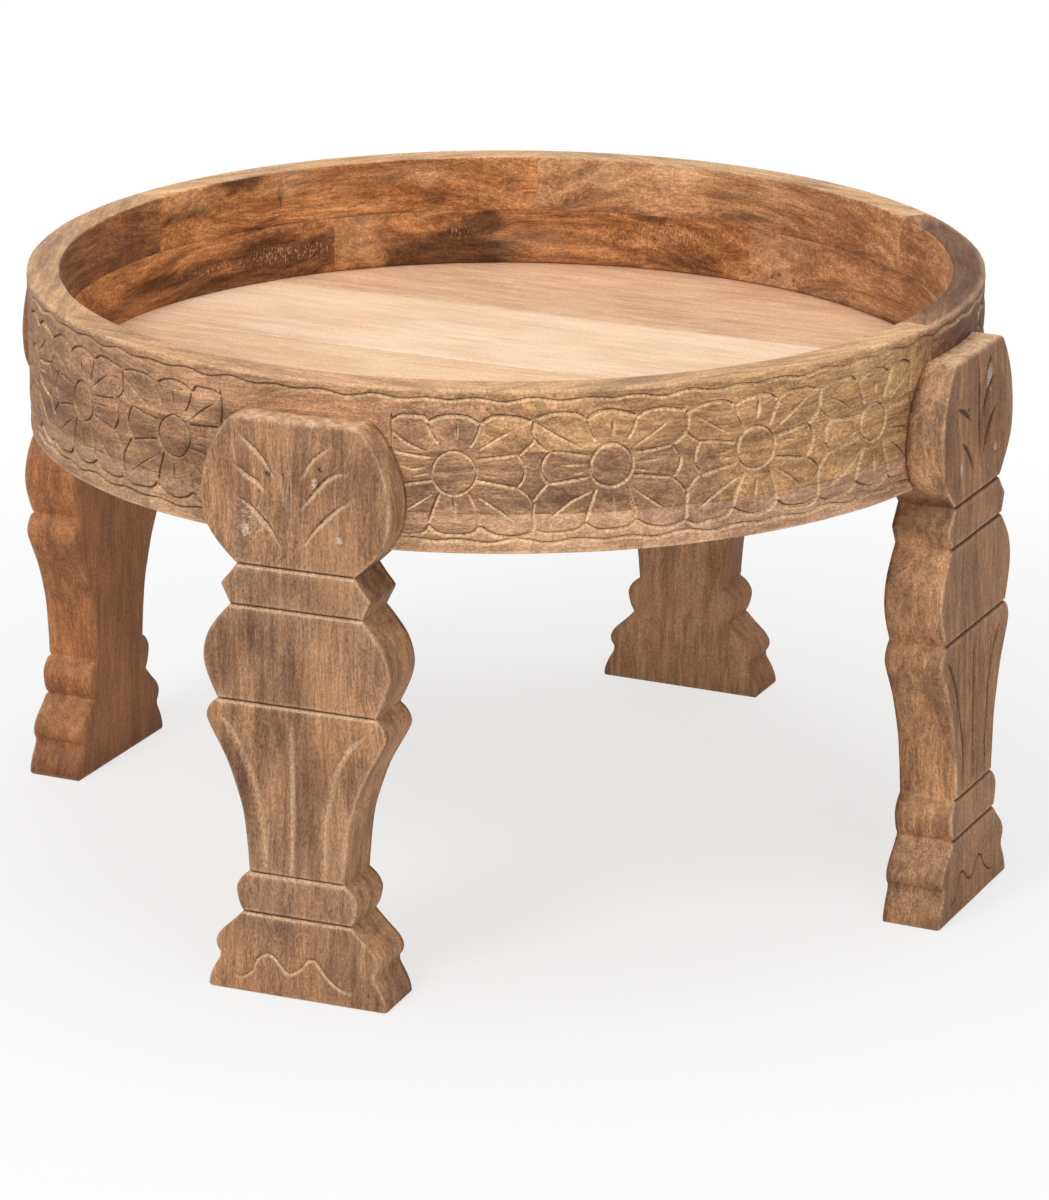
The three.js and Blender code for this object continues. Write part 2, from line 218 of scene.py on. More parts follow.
def flower_strokes():
    """Every stroke of every flower: where its flower stands in degrees, its line in metres along the wall and
    below the rim, width, depth, the share that runs out, and whether it bounds a petal. Hand work shows as
    small seeded shifts of the points and as seeded shares of width and depth."""
    hand = np.random.default_rng(7)
    strokes = []

    def cut(flower, kind, points, shake=0.4, stoutness=1.0):
        middle, height = flower[:2]
        width, depth, run_out = STROKE_KINDS[kind]
        line = np.asarray(points, float) + [0, height] + hand.normal(0, shake, (len(points), 2))
        line = smooth_line(line, 4, closed=kind == "eye") * MM
        width, depth = np.array([width * stoutness, depth]) * hand.uniform(0.85, 1.18) * MM
        strokes.append((middle, line, width, depth, run_out, "vein" not in kind))

    turn = np.linspace(0, 2 * np.pi, 12, endpoint=False)
    for band in FLOWER_BANDS:
        for place, flower in enumerate(band):
            first, last = place == 0, place == len(band) - 1
            _, height, eye_height, eye_radius = flower
            eye = np.column_stack([np.cos(turn), np.sin(turn)]) * eye_radius + [0, eye_height - height]
            cut(flower, "eye", eye, shake=0.25)
            for points in PETAL_TIPS:
                squeeze = TIP_SQUEEZE if reaches_border(points, first, last) else 1.0
                points = [(along * squeeze if abs(along) > TIP_ROOT else along, up) for along, up in points]
                cut(flower, "petal_tip", points)
            for points in PETAL_SIDES:
                squeeze = SIDE_SQUEEZE if reaches_border(points, first, last) else 1.0
                cut(flower, "petal_side", np.array(points) * [squeeze, 1])
            for kind, lines in (("side_petal_end", SIDE_PETAL_ENDS), ("lens_side", LENS_SIDES)):
                for points in lines:
                    if not reaches_border(points, first, last):
                        cut(flower, kind, points)
            if not last:
                for points in CELL_SIDES:
                    cut(flower, "cell_side", points)
            if last or first:
                cut(flower, "border", np.array(BAND_BORDER) * [1 if last else -1, 1])
            for points in PETAL_VEINS:
                stoutness = 1.3 if abs(points[0][0]) < 2 else 1.0
                cut(flower, "petal_vein", np.array(points) * hand.uniform(0.88, 1.06), 0.7, stoutness)
            for points in SIDE_VEINS:
                if hand.random() < 0.8:
                    cut(flower, "side_vein", points, shake=0.6)
    return strokes


def degrees_from(middle, angle):
    """Degrees from a middle to each angle, the short way round."""
    return np.mod(angle - middle + 180, 360) - 180


FLOWER_STROKES = flower_strokes()
# How far the face sinks beside a cut that bounds a petal, and over what distance it does.
PILLOW_DEPTH = 0.0012
PILLOW_REACH = 0.0042
# How far past its line a stroke is worked out, and the depth at which the painted shade and dark wax in a cut
# are as dark as they get.
STROKE_WINDOW = 0.008
DARK_DEPTH = 0.0011
# Stretches where the cuts get less painted highlight and pale dust, and so more painted shade, in degrees:
# the middle and half length of each stretch.
DIMMED_CUT_STRETCHES = [(-132, 22), (-35, 1.5), (176, 16), (28, 12)]


def carve(angle, height):
    """The depth of the carving at each angle (degrees) and height (metres below the rim) of the outer face,
    that depth as a share, which sets the painted shade and dark wax in the cuts, and how much painted
    highlight
    with pale dust lies there: on slopes that face up towards the lamps, less on those that face sideways,
    more on those that face left towards the key lamp than on those that face right, and less in the dimmed
    stretches. A wavy line is a V round a sum of two sines. A flower is the deepest of its strokes, and near a
    petal's bounds the face also falls away, as e to the minus distance."""
    angle, height = np.broadcast_arrays(angle, height)
    depth = np.zeros(angle.shape)
    sag = np.zeros(angle.shape)
    turn = np.radians(angle)
    for level, waves, others, start in WAVE_LINES:
        swing = np.sin(waves * turn + start) + 0.55 * np.sin(others * turn + 2 * start)
        line = level + WAVE_SWING * swing
        slope = WAVE_SWING * waves / RING_RADIUS * np.cos(waves * turn + start)
        distance = np.abs(height - line) / np.hypot(1, slope)
        depth = np.maximum(depth, chisel_cut(distance, 0, WAVE_WIDTH, WAVE_DEPTH, 0))
        sag = np.maximum(sag, 0.8 * np.exp(-distance / PILLOW_REACH))
    for middle, line, width, cut_depth, run_out, bounds in FLOWER_STROKES:
        u = degrees_from(middle, angle[:, 0]) * np.radians(RING_RADIUS)
        left, right = line[:, 0].min() - STROKE_WINDOW, line[:, 0].max() + STROKE_WINDOW
        near = np.flatnonzero((u > left) & (u < right))
        if not len(near):
            continue
        distance, along = distance_to_line(u[near, None], height[near], line)
        depth[near] = np.maximum(depth[near], chisel_cut(distance, along, width, cut_depth, run_out))
        if bounds:
            sag[near] = np.maximum(sag[near], np.exp(-distance / PILLOW_REACH))
    rise = np.minimum(np.gradient(height[0]), -0.0001)
    upward = np.gradient(depth, axis=1) / rise
    sideways = np.gradient(depth, axis=0) / (RING_RADIUS * (turn[1, 0] - turn[0, 0]))
    # Painted highlight with pale dust: slopes that face up towards the lamps, and more those that face left
    # towards the key lamp than right, are made paler.
    lit = np.clip(1.1 * upward + 0.5 * np.abs(sideways) - 0.25 * sideways, 0, 1)
    for middle, half in DIMMED_CUT_STRETCHES:
        away = np.abs(degrees_from(middle, angle))
        lit = lit * np.clip((away - half) / 5, 0.3, 1)
    return depth + PILLOW_DEPTH * sag, np.clip(depth / DARK_DEPTH, 0, 1), lit


# The step along a softened corner, and the softness from which a corner is rubbed pale.
CORNER_STEP = 0.0006
PALE_SOFTNESS = 0.0005


def soft_outline(corners, softness, cells):
    """A closed outline through corners, each cut back by its softness and joined by the quadratic curve that
    leaves and meets its two edges, and each edge after a corner split into steps of its cell. With each
    point comes 1 where it lies on a corner that is rubbed pale, and 0 elsewhere."""
    corners = np.asarray(corners, float)
    points, rounds = [], []
    count = len(corners)
    for k in range(count):
        here, before, after = corners[k], corners[k - 1], corners[(k + 1) % count]
        into = (before - here) / np.linalg.norm(before - here)
        out = (after - here) / np.linalg.norm(after - here)
        steps = int(np.clip(np.ceil(softness[k] / CORNER_STEP), 1, 6))
        t = np.linspace(0, 1, steps + 1)[:, None]
        leave, meet = here + into * softness[k], here + out * softness[k]
        arc = (1 - t) ** 2 * leave + 2 * t * (1 - t) * here + t**2 * meet
        points.append(arc)
        rounds.append(np.full(len(arc), 1.0 if softness[k] > PALE_SOFTNESS else 0.0))
        edge_end = after - out * softness[(k + 1) % count]
        length = np.linalg.norm(edge_end - arc[-1])
        parts = max(int(np.ceil(length / cells[k])), 1)
        s = np.linspace(0, 1, parts + 1)[1:-1, None]
        points.append(arc[-1] + (edge_end - arc[-1]) * s)
        rounds.append(np.zeros(len(s)))
    return np.vstack(points), np.concatenate(rounds)


def skin(name, points, marks, creases=()):
    """A closed skin over a tube of points, given loop after loop: four-sided faces between neighbouring
    loops and one flat face over each end. The faces are turned over where the volume inside comes out
    negative. marks are values kept at the points for the material, and creases the loops that stay sharp."""
    loops, ring = points.shape[:2]
    index = np.arange(loops * ring).reshape(loops, ring)
    sides = np.stack([index[:-1], index[1:], np.roll(index[1:], -1, 1), np.roll(index[:-1], -1, 1)], -1)
    sides = sides.reshape(-1, 4)
    ends = [index[0], index[-1][::-1]]
    place = points.reshape(-1, 3)
    a, b, c, d = (place[sides[:, k]] for k in range(4))
    volume = np.sum(a * (np.cross(b, c) + np.cross(c, d)))
    for end in ends:
        rim = place[end]
        volume += np.sum(rim[0] * np.cross(rim[1:-1], rim[2:]))
    if volume < 0:
        sides, ends = sides[:, ::-1], [end[::-1] for end in ends]
    corners = np.concatenate([sides.ravel(), *ends])
    starts = np.concatenate([np.arange(len(sides)) * 4, [len(sides) * 4, len(sides) * 4 + ring]])
    mesh = bpy.data.meshes.new(name)
    mesh.vertices.add(len(place))
    mesh.vertices.foreach_set("co", place.ravel())
    mesh.loops.add(len(corners))
    mesh.polygons.add(len(starts))
    mesh.polygons.foreach_set("loop_start", starts.astype(np.int32))
    mesh.loops.foreach_set("vertex_index", corners.astype(np.int32))
    mesh.update(calc_edges=True)
    mesh.shade_smooth()
    for mark, values in marks.items():
        values = np.asarray(values, np.float32)
        kind = "FLOAT_VECTOR" if values.ndim == 3 else "FLOAT"
        attribute = mesh.attributes.new(mark, kind, "POINT")
        attribute.data.foreach_set("vector" if values.ndim == 3 else "value", values.ravel())
    pairs = np.empty(len(mesh.edges) * 2, np.int32)
    mesh.edges.foreach_get("vertices", pairs)
    rows = pairs.reshape(-1, 2) // ring
    sharp = (rows[:, 0] == rows[:, 1]) & np.isin(rows[:, 0], [0, loops - 1, *creases])
    mesh.edges.foreach_set("use_edge_sharp", sharp)
    piece = bpy.data.objects.new(name, mesh)
    bpy.context.scene.collection.objects.link(piece)
    return piece


def placed(out, across, height, turn, middle=RING_MIDDLE):
    """Points in the frame, from how far they lie out from a middle in the direction of turn (radians), how
    far across that direction to the left, and how high."""
    x = middle[0] + out * np.cos(turn) - across * np.sin(turn)
    y = middle[1] + out * np.sin(turn) + across * np.cos(turn)
    return np.stack([x, y, np.broadcast_to(height, x.shape)], -1)


def paint(colour):
    """A colour given as 0 to 255 on a screen, as the linear colour that shaders use."""
    screen = np.array(colour) / 255
    linear = np.where(screen <= 0.04045, screen / 12.92, ((screen + 0.055) / 1.055) ** 2.4)
    return (*linear.tolist(), 1.0)


def add_node(tree, kind, sockets=None, **settings):
    """One shader node, with its settings, and its sockets by name or number as values or as links."""
    made = tree.nodes.new(kind)
    for name, value in settings.items():
        setattr(made, name, value)
    for name, value in (sockets or {}).items():
        if isinstance(value, bpy.types.NodeSocket):
            tree.links.new(value, made.inputs[name])
        else:
            made.inputs[name].default_value = value
    return made


def sums(tree, operation, first, second=0.0, third=0.0, clamp=False):
    """One sum of two or three numbers, as the socket that holds it."""
    sockets = {0: first, 1: second, 2: third}
    return add_node(tree, "ShaderNodeMath", sockets, operation=operation, use_clamp=clamp).outputs[0]


def scaled(tree, vector, scale, shift=(0, 0, 0)):
    """A vector socket times a scale plus a shift, axis by axis."""
    made = add_node(tree, "ShaderNodeVectorMath", {0: vector, 1: scale, 2: shift}, operation="MULTIPLY_ADD")
    return made.outputs[0]


def times(tree, vector, number):
    """A vector socket times one number."""
    made = add_node(tree, "ShaderNodeVectorMath", {0: vector, "Scale": number}, operation="SCALE")
    return made.outputs[0]


def vector_length(tree, vector):
    """The length of a vector."""
    return add_node(tree, "ShaderNodeVectorMath", {0: vector}, operation="LENGTH").outputs["Value"]


def noise(tree, vector, detail, roughness=0.5, output="Fac"):
    """Smooth noise from 0 to 1 at a vector, one wave to a unit."""
    sockets = {"Vector": vector, "Scale": 1.0, "Detail": detail, "Roughness": roughness}
    return add_node(tree, "ShaderNodeTexNoise", sockets).outputs[output]


def span(tree, value, low, high, to_low=0.0, to_high=1.0):
    """A value that goes from to_low to to_high as another goes from low to high, and stops there."""
    sockets = {"Value": value, "From Min": low, "From Max": high, "To Min": to_low, "To Max": to_high}
    return add_node(tree, "ShaderNodeMapRange", sockets, interpolation_type="SMOOTHSTEP").outputs["Result"]


def blend(tree, share, first, second, how="MIX"):
    """Two colours mixed by a share from 0 to 1."""
    made = add_node(tree, "ShaderNodeMix", data_type="RGBA", blend_type=how, clamp_factor=True)
    for socket, value in ((made.inputs[0], share), (made.inputs[6], first), (made.inputs[7], second)):
        if isinstance(value, bpy.types.NodeSocket):
            tree.links.new(value, socket)
        else:
            socket.default_value = value
    return made.outputs[2]


def greyed(tree, value):
    """A number as a grey colour."""
    return add_node(tree, "ShaderNodeCombineColor", {0: value, 1: value, 2: value}).outputs[0]


def new_material(name):
    """A material, its nodes and its shader."""
    material = bpy.data.materials.new(name)
    material.use_nodes = True
    return material, material.node_tree, material.node_tree.nodes["Principled BSDF"]


def new_group(name, takes, gives):
    """An empty shader group with its named sockets, and its inputs and its output node."""
    group = bpy.data.node_groups.new(name, "ShaderNodeTree")
    kinds = {"value": "NodeSocketFloat", "colour": "NodeSocketColor", "vector": "NodeSocketVector"}
    for socket, kind in takes.items():
        group.interface.new_socket(socket, in_out="INPUT", socket_type=kinds[kind])
    for socket, kind in gives.items():
        group.interface.new_socket(socket, in_out="OUTPUT", socket_type=kinds[kind])
    return group, group.nodes.new("NodeGroupInput").outputs, group.nodes.new("NodeGroupOutput")


def wood_grain_group():
    """The figure of a plank, read in metres with X along the grain and the tree's middle on the X axis. The
    plank is first pushed a little out of line, as a tree grows. Bands are noise along the grain and out from
    the tree's middle, so they follow its rings, the rest is noise drawn out along X, and a faint ripple that
    saw and sander leave runs across it."""
    takes = {"Plank": "vector", "Band Width": "value", "Wander": "value", "Fineness": "value"}
    gives = {name: "value" for name in ("Bands", "Fibres", "Pores", "Clouds", "Relief")}
    tree, given, out = new_group("wood_grain", takes, gives)
    plank = given["Plank"]
    drift = noise(tree, scaled(tree, plank, (6, 21, 21)), 2, output="Color")
    drift = scaled(tree, drift, (1, 1, 1), (-0.5, -0.5, -0.5))
    pushed = scaled(tree, times(tree, drift, given["Wander"]), (1, 1, 1), plank)
    split = add_node(tree, "ShaderNodeSeparateXYZ", {0: pushed})
    radius = vector_length(tree, scaled(tree, pushed, (0, 1, 1)))
    turns = sums(tree, "DIVIDE", radius, given["Band Width"])
    along = sums(tree, "MULTIPLY", split.outputs["X"], 7.0)
    bands = noise(tree, add_node(tree, "ShaderNodeCombineXYZ", {0: along, 1: turns}).outputs[0], 5, 0.66)
    streaks = noise(tree, scaled(tree, pushed, (13, 230, 230), (3.4, 1.2, 0.3)), 3, 0.6)
    bands = sums(tree, "MULTIPLY_ADD", streaks, 0.4, sums(tree, "MULTIPLY", bands, 0.6))
    ripple = noise(tree, scaled(tree, plank, (760, 40, 40), (0.7, 4.2, 1.3)), 2, 0.6)
    fibres = noise(tree, scaled(tree, pushed, (48, 620, 620), (0.4, 2.2, 5.3)), 4, 0.7)
    fibres = sums(tree, "MULTIPLY_ADD", ripple, 0.12, sums(tree, "MULTIPLY", fibres, 0.88))
    clouds = noise(tree, scaled(tree, plank, (12, 23, 23), (1.3, 6.1, 2.4)), 4, 0.6)
    sized = times(tree, scaled(tree, plank, (240, 1300, 1300)), given["Fineness"])
    sockets = {"Vector": sized, "Scale": 1.0, "Randomness": 1.0}
    cells = add_node(tree, "ShaderNodeTexVoronoi", sockets, feature="F1")
    dashes = span(tree, cells.outputs["Distance"], 0.18, 0.4, 1.0, 0.0)
    pores = sums(tree, "MULTIPLY", dashes, span(tree, clouds, 0.36, 0.58))
    relief = sums(tree, "SUBTRACT", sums(tree, "MULTIPLY", fibres, 0.8), pores)
    for name, value in zip(gives, (bands, fibres, pores, clouds, relief)):
        tree.links.new(value, out.inputs[name])
    return tree


# What is kept at the points of a piece, 0 where there is none of it and 1 or more where it is strong: how
# deep the wood is cut, which also sets the painted shade and dark wax in a cut, how much painted highlight
# and pale dust lie on a cut's slopes, how far an edge is rubbed pale, on the legs with painted light on sides
# that face up and on back faces, how thick a chalky film lies, how much it is stained, with painted shade on
# the legs' sides, along the foot of the tray's wall and in pin holes, and how much it is torn or filled.
MARKS = ("Cut", "Lit", "Edge", "Dust", "Stain_And_Shade", "Fleck")


def worn_finish_and_light_group():
    """What hand work and handling leave on wood, with painted light and shade. Stained places and painted
    shade are tinted in streaks, a chalky film lies on faces in clouds, flecks of torn grain or filler are
    pale, slopes of cuts that face the lamps get a painted highlight with pale dust and the rest of a cut
    painted shade with dark wax, and edges are rubbed pale, with painted light on some faces of the legs. Each
    is a mix by a mask kept on the piece."""
    takes = {"Colour": "colour", "Plank": "vector", "Bands": "value", "Grit": "value"}
    takes.update({mark: "value" for mark in MARKS})
    # The cut colour is the painted shade and dark wax in cuts, the edge colour is also the painted highlight
    # on their slopes, and the stain tint also tints painted shade.
    tints = ("Dust Colour", "Cut Shade And Wax Colour", "Edge Colour", "Fleck Colour", "Stain Tint")
    takes.update({tint: "colour" for tint in tints})
    tree, given, out = new_group("worn_finish_and_light", takes, {"Colour": "colour", "Roughness": "value"})
    plank = given["Plank"]
    grit = noise(tree, scaled(tree, plank, (520, 900, 900), (2, 9, 5)), 2, 0.7)
    mottle = noise(tree, scaled(tree, plank, (20, 150, 150), (7, 3, 1)), 5, 0.68)
    streaked = sums(tree, "MULTIPLY_ADD", given["Bands"], 1.6, sums(tree, "MULTIPLY_ADD", mottle, 1.0, -0.3))
    stained_and_shaded = span(tree, sums(tree, "MULTIPLY", given["Stain_And_Shade"], streaked), 0.1, 0.95, 0.0, 1.0)
    colour = blend(tree, stained_and_shaded, given["Colour"], given["Stain Tint"], "MULTIPLY")
    film = sums(tree, "MULTIPLY", given["Dust"], span(tree, mottle, 0.36, 0.64, 0.4, 1.0))
    film = sums(tree, "MULTIPLY", film, span(tree, grit, 0.32, 0.66, 0.75, 1.0), clamp=True)
    colour = blend(tree, film, colour, given["Dust Colour"])
    torn = noise(tree, scaled(tree, plank, (1250, 330, 330), (5, 2, 8)), 2, 0.6)
    torn = sums(tree, "MULTIPLY_ADD", given["Fleck"], 0.17, torn)
    torn = span(tree, torn, 0.6, 0.74, 0.0, 0.8)
    pale = sums(tree, "MULTIPLY", torn, span(tree, given["Fleck"], 0.05, 0.6))
    colour = blend(tree, pale, colour, given["Fleck Colour"])
    # Painted shade with dark wax on the parts of a cut that face away from the lamps.
    unlit = span(tree, given["Lit"], 0.03, 0.35, 0.8, 0.0)
    cut_shade_and_wax = sums(tree, "MULTIPLY", span(tree, given["Cut"], 0.15, 0.8), unlit)
    colour = blend(tree, cut_shade_and_wax, colour, given["Cut Shade And Wax Colour"])
    # Painted highlight with pale dust on the slopes of a cut that face the lamps.
    highlight_and_chalk = sums(tree, "MULTIPLY", given["Lit"], span(tree, grit, 0.25, 0.7, 0.65, 1.0))
    colour = blend(tree, highlight_and_chalk, colour, given["Edge Colour"])
    rubbed = sums(tree, "MULTIPLY", given["Edge"], span(tree, mottle, 0.32, 0.66, 0.35, 0.85), clamp=True)
    colour = blend(tree, rubbed, colour, given["Edge Colour"])
    shade = span(tree, mottle, 0.34, 0.66, 0.84, 1.13)
    shade = sums(tree, "MULTIPLY", span(tree, grit, 0.32, 0.68, 0.76, 1.22), shade)
    colour = blend(tree, given["Grit"], colour, greyed(tree, shade), "MULTIPLY")
    tree.links.new(colour, out.inputs["Colour"])
    dull = span(tree, mottle, 0.25, 0.75, 0.58, 0.76)
    tree.links.new(sums(tree, "MULTIPLY_ADD", given["Edge"], -0.06, dull), out.inputs["Roughness"])
    return tree


WOOD_GRAIN = wood_grain_group()
WORN_FINISH_AND_LIGHT = worn_finish_and_light_group()
# How deep the grain's bump is in metres, and how strongly waxed wood mirrors light.
GRAIN_DEPTH = 0.0006
WAXED_SHINE = 0.28


def wood(name, light, dark, heart, band_width, contrast, pore_depth, fineness, relief, finish_and_light, wander=0.035):
    """A wood: light and dark mixed by the bands and clouds, heart where these are strongest, darker pores,
    finer fibres as a change of lightness by contrast, then the wear of finish with the painted light and
    shade of its marks, and the grain as a bump."""
    material, tree, shader = new_material(name)
    light, dark, heart = paint(light), paint(dark), paint(heart)
    plank = add_node(tree, "ShaderNodeAttribute", attribute_name="plank").outputs["Vector"]
    sockets = {"Plank": plank, "Band Width": band_width, "Wander": wander, "Fineness": fineness}
    grain = add_node(tree, "ShaderNodeGroup", sockets, node_tree=WOOD_GRAIN).outputs
    clouds = sums(tree, "MULTIPLY", grain["Clouds"], 0.4)
    figure = sums(tree, "MULTIPLY_ADD", grain["Bands"], 0.6, clouds)
    colour = blend(tree, span(tree, figure, 0.42, 0.58), light, dark)
    colour = blend(tree, span(tree, figure, 0.55, 0.67, 0.0, 0.75), colour, heart)
    shade = span(tree, grain["Fibres"], 0.37, 0.63, 1 - contrast, 1 + contrast)
    colour = blend(tree, 1.0, colour, greyed(tree, shade), "MULTIPLY")
    colour = blend(tree, sums(tree, "MULTIPLY", grain["Pores"], pore_depth), colour, heart)
    sockets = {"Colour": colour, "Plank": plank, "Bands": grain["Bands"]}
    for mark in MARKS:
        sockets[mark] = add_node(tree, "ShaderNodeAttribute", attribute_name=mark.lower()).outputs["Fac"]
    for socket, value in finish_and_light.items():
        sockets[socket] = paint(value) if isinstance(value, tuple) else value
    worn_and_lit = add_node(tree, "ShaderNodeGroup", sockets, node_tree=WORN_FINISH_AND_LIGHT).outputs
    tree.links.new(worn_and_lit["Colour"], shader.inputs["Base Color"])
    tree.links.new(worn_and_lit["Roughness"], shader.inputs["Roughness"])
    shader.inputs["Specular IOR Level"].default_value = WAXED_SHINE
    sockets = {"Strength": relief, "Distance": GRAIN_DEPTH, "Height": grain["Relief"]}
    bump = add_node(tree, "ShaderNodeBump", sockets)
    tree.links.new(bump.outputs["Normal"], shader.inputs["Normal"])
    return material


RING_FINISH_AND_LIGHT = {
    "Dust Colour": (180, 146, 118),
    "Cut Shade And Wax Colour": (56, 35, 22),
    "Edge Colour": (234, 194, 148),
    "Fleck Colour": (206, 158, 118),
    "Stain Tint": (148, 138, 134),
    "Grit": 1.0,
}
RING_FINENESS = 1.0
RING_RELIEF = 0.5
# The ring's woods: light, dark and heart colour, width of the bands, contrast of the fibres, and pore depth.
RING_TONES = {
    "golden": ((200, 152, 102), (156, 110, 68), (102, 68, 42), 0.008, 0.3, 0.6),
    "honey": ((204, 145, 91), (158, 99, 55), (106, 62, 35), 0.010, 0.3, 0.6),
    "russet": ((197, 148, 108), (156, 111, 77), (101, 68, 46), 0.008, 0.28, 0.6),
    "umber": ((180, 135, 96), (138, 96, 64), (89, 59, 39), 0.007, 0.3, 0.6),
    "pale": ((208, 161, 122), (169, 124, 88), (121, 83, 58), 0.009, 0.26, 0.55),
    "rosy": ((206, 158, 124), (166, 120, 90), (112, 77, 57), 0.008, 0.26, 0.6),
    "tan": ((200, 152, 107), (156, 108, 71), (102, 68, 45), 0.008, 0.28, 0.55),
    "orange": ((204, 144, 90), (152, 96, 54), (92, 56, 34), 0.009, 0.28, 0.6),
    "brown": ((168, 118, 78), (124, 80, 50), (78, 50, 32), 0.009, 0.26, 0.55),
    "grey": ((196, 146, 104), (152, 106, 70), (98, 66, 44), 0.008, 0.26, 0.55),
}
RING_WOODS = {
    tone: wood("ring_wood_" + tone, *facts, RING_FINENESS, RING_RELIEF, RING_FINISH_AND_LIGHT)
    for tone, facts in RING_TONES.items()
}

# Dark heartwood in some blocks: degrees, metres below the rim, half length, half height and strength. The
# inner wall and the outer wall have their own.
INNER_STAINS = {
    "rim_block_4": [
        (129, -0.002, 3.4, 0.0065, 1.8), (122.7, -0.013, 0.5, 0.009, 1.3), (139, -0.017, 6, 0.005, 0.8),
        (127, -0.036, 5, 0.005, 0.8), (100, -0.026, 4, 0.006, 0.5), (110, -0.036, 12, 0.004, 0.5),
        (90, -0.030, 5, 0.005, 0.4),
    ],
    "wall_block_4": [
        (121, -0.057, 13, 0.016, 1.25), (142, -0.058, 13, 0.009, 1.0), (130, -0.070, 22, 0.009, 0.9),
        (162, -0.066, 15, 0.009, 0.6), (127, -0.037, 3, 0.005, 0.8),
    ],
    "wall_block_3": [
        (98, -0.067, 8.5, 0.014, 2.2), (93, -0.046, 3.5, 0.010, 1.3), (64, -0.067, 10, 0.010, 0.8),
        (80, -0.070, 8, 0.005, 0.6), (69, -0.038, 3.5, 0.005, 0.6), (56, -0.058, 3, 0.016, 0.5),
        (110, -0.037, 6, 0.004, 0.5),
    ],
    "wall_block_2": [(30, -0.072, 22, 0.005, 0.5)],
    "rim_block_3": [(53, -0.029, 5, 0.004, 0.7), (33, -0.034, 9, 0.004, 0.4)],
}
OUTER_STAINS = {
    # In the next block the first place, a narrow dark strip beside the front left leg's right edge, is partly
    # painted shadow of the leg and partly darker wood.
    "wall_block_6": [
        (-99.5, -0.062, 2.8, 0.014, 0.7), (-84, -0.066, 8, 0.008, 0.8), (-96, -0.050, 2.1, 0.011, 0.45),
        (-78.6, -0.047, 2.1, 0.011, 0.55), (-92, -0.045, 9, 0.004, 0.4),
    ],
    "wall_block_1": [(-44, -0.056, 6, 0.004, 0.5), (-62, -0.040, 8, 0.004, 0.5)],
    "wall_block_5": [(-157, -0.060, 8, 0.016, 0.5), (-131, -0.060, 5, 0.012, 0.4)],
    "wall_block_2": [(-5, -0.055, 5, 0.02, 0.6), (18, -0.05, 14, 0.01, 0.5)],
    "wall_block_3": [(78, -0.05, 6, 0.009, 0.6), (100, -0.062, 10, 0.008, 0.5)],
    "wall_block_4": [(122, -0.062, 8, 0.008, 0.6), (150, -0.05, 9, 0.01, 0.4)],
    "rim_block_2": [(-5, -0.015, 28, 0.034, 1.7)],
    "rim_block_6": [(-95, -0.026, 2.4, 0.012, 0.8), (-103, -0.018, 5, 0.008, 0.4)],
    "rim_block_4": [(110, -0.02, 12, 0.006, 0.5)],
    "base_block_1": [(-70, -0.083, 2.2, 0.006, 0.9), (-40, -0.088, 8, 0.006, 0.4)],
    "base_block_6": [(-90, -0.094, 6, 0.004, 0.3)],
    "base_block_5": [(-164, -0.086, 6, 0.006, 0.4)],
}
# Places on the inner wall that are rubbed pale, and places where its grain is torn, given in the same way.
INNER_PALE = {
    "rim_block_4": [(121, -0.006, 4, 0.009, 0.8), (139, -0.008, 5, 0.008, 0.5), (104, -0.010, 9, 0.006, 0.4)],
    "rim_block_3": [(75.5, -0.012, 4, 0.011, 0.8), (65, -0.005, 8, 0.008, 0.6), (50, -0.012, 9, 0.007, 0.4)],
    "wall_block_3": [(111, -0.050, 3.5, 0.022, 0.5), (86, -0.058, 5, 0.008, 0.4)],
    "wall_block_2": [(49, -0.052, 5, 0.02, 0.4)],
}
INNER_FLECKS = [
    (121, -0.057, 9, 0.007, 0.75), (134, -0.058, 9, 0.005, 0.6), (65, -0.049, 8, 0.008, 0.85),
    (72, -0.055, 10, 0.008, 0.6), (110, -0.054, 6, 0.006, 0.6), (130, -0.014, 8, 0.006, 0.45),
    (97, -0.052, 4, 0.007, 0.5), (40, -0.050, 14, 0.016, 0.4),
]
# A row of small holes on the inner wall, not cut but painted in as dark spots of shade, and knots: degrees,
# metres below the rim, and radius.
PIN_HOLES = [(46 + 1.25 * place, -0.0665 + 0.0006 * (place % 3), 0.3, 0.0010, 1.5) for place in range(7)]
INNER_KNOTS = [(76, -0.013, 0.0026), (81, -0.027, 0.002), (81.3, -0.031, 0.0022)]
# How pale the top of each rim block is rubbed.
RIM_RUBBED = [0.48, 0.0, 0.6, 0.75, 0.5, 0.25]
# A point belongs to a face when it lies within the face's skin, and less so over the last blend of it.
OUTER_SKIN = 0.004
OUTER_BLEND = 0.003
INNER_SKIN = 0.003
INNER_BLEND = 0.002
TOP_SKIN = 0.0006
TORN_DEPTH = 0.0009
SANDER_SWELL = 0.00009
# How far the grain is pulled up and out round a knot.
KNOT_LIFT = 0.012
KNOT_SPREAD = 0.010
# How much further up or down than drawn the tree's middle is put.
PITH_CLEARANCE = 0.03


def ellipse_masks(angle, height, places):
    """How much each point lies in soft ellipses: for each, its strength times e to the minus the square of
    the distance in half axes, where a sine along the ring makes the half height ragged, and the greatest of
    them."""
    mask = np.zeros(np.broadcast(angle, height).shape)
    for middle, level, half_turn, half_height, strength in places:
        across = degrees_from(middle, angle) / half_turn
        ragged = 1 + 0.25 * np.sin(across * 5 + level * 900)
        distance = np.hypot(across, (height - level) / (half_height * ragged))
        mask = np.maximum(mask, strength * np.exp(-(distance**2)))
    return mask


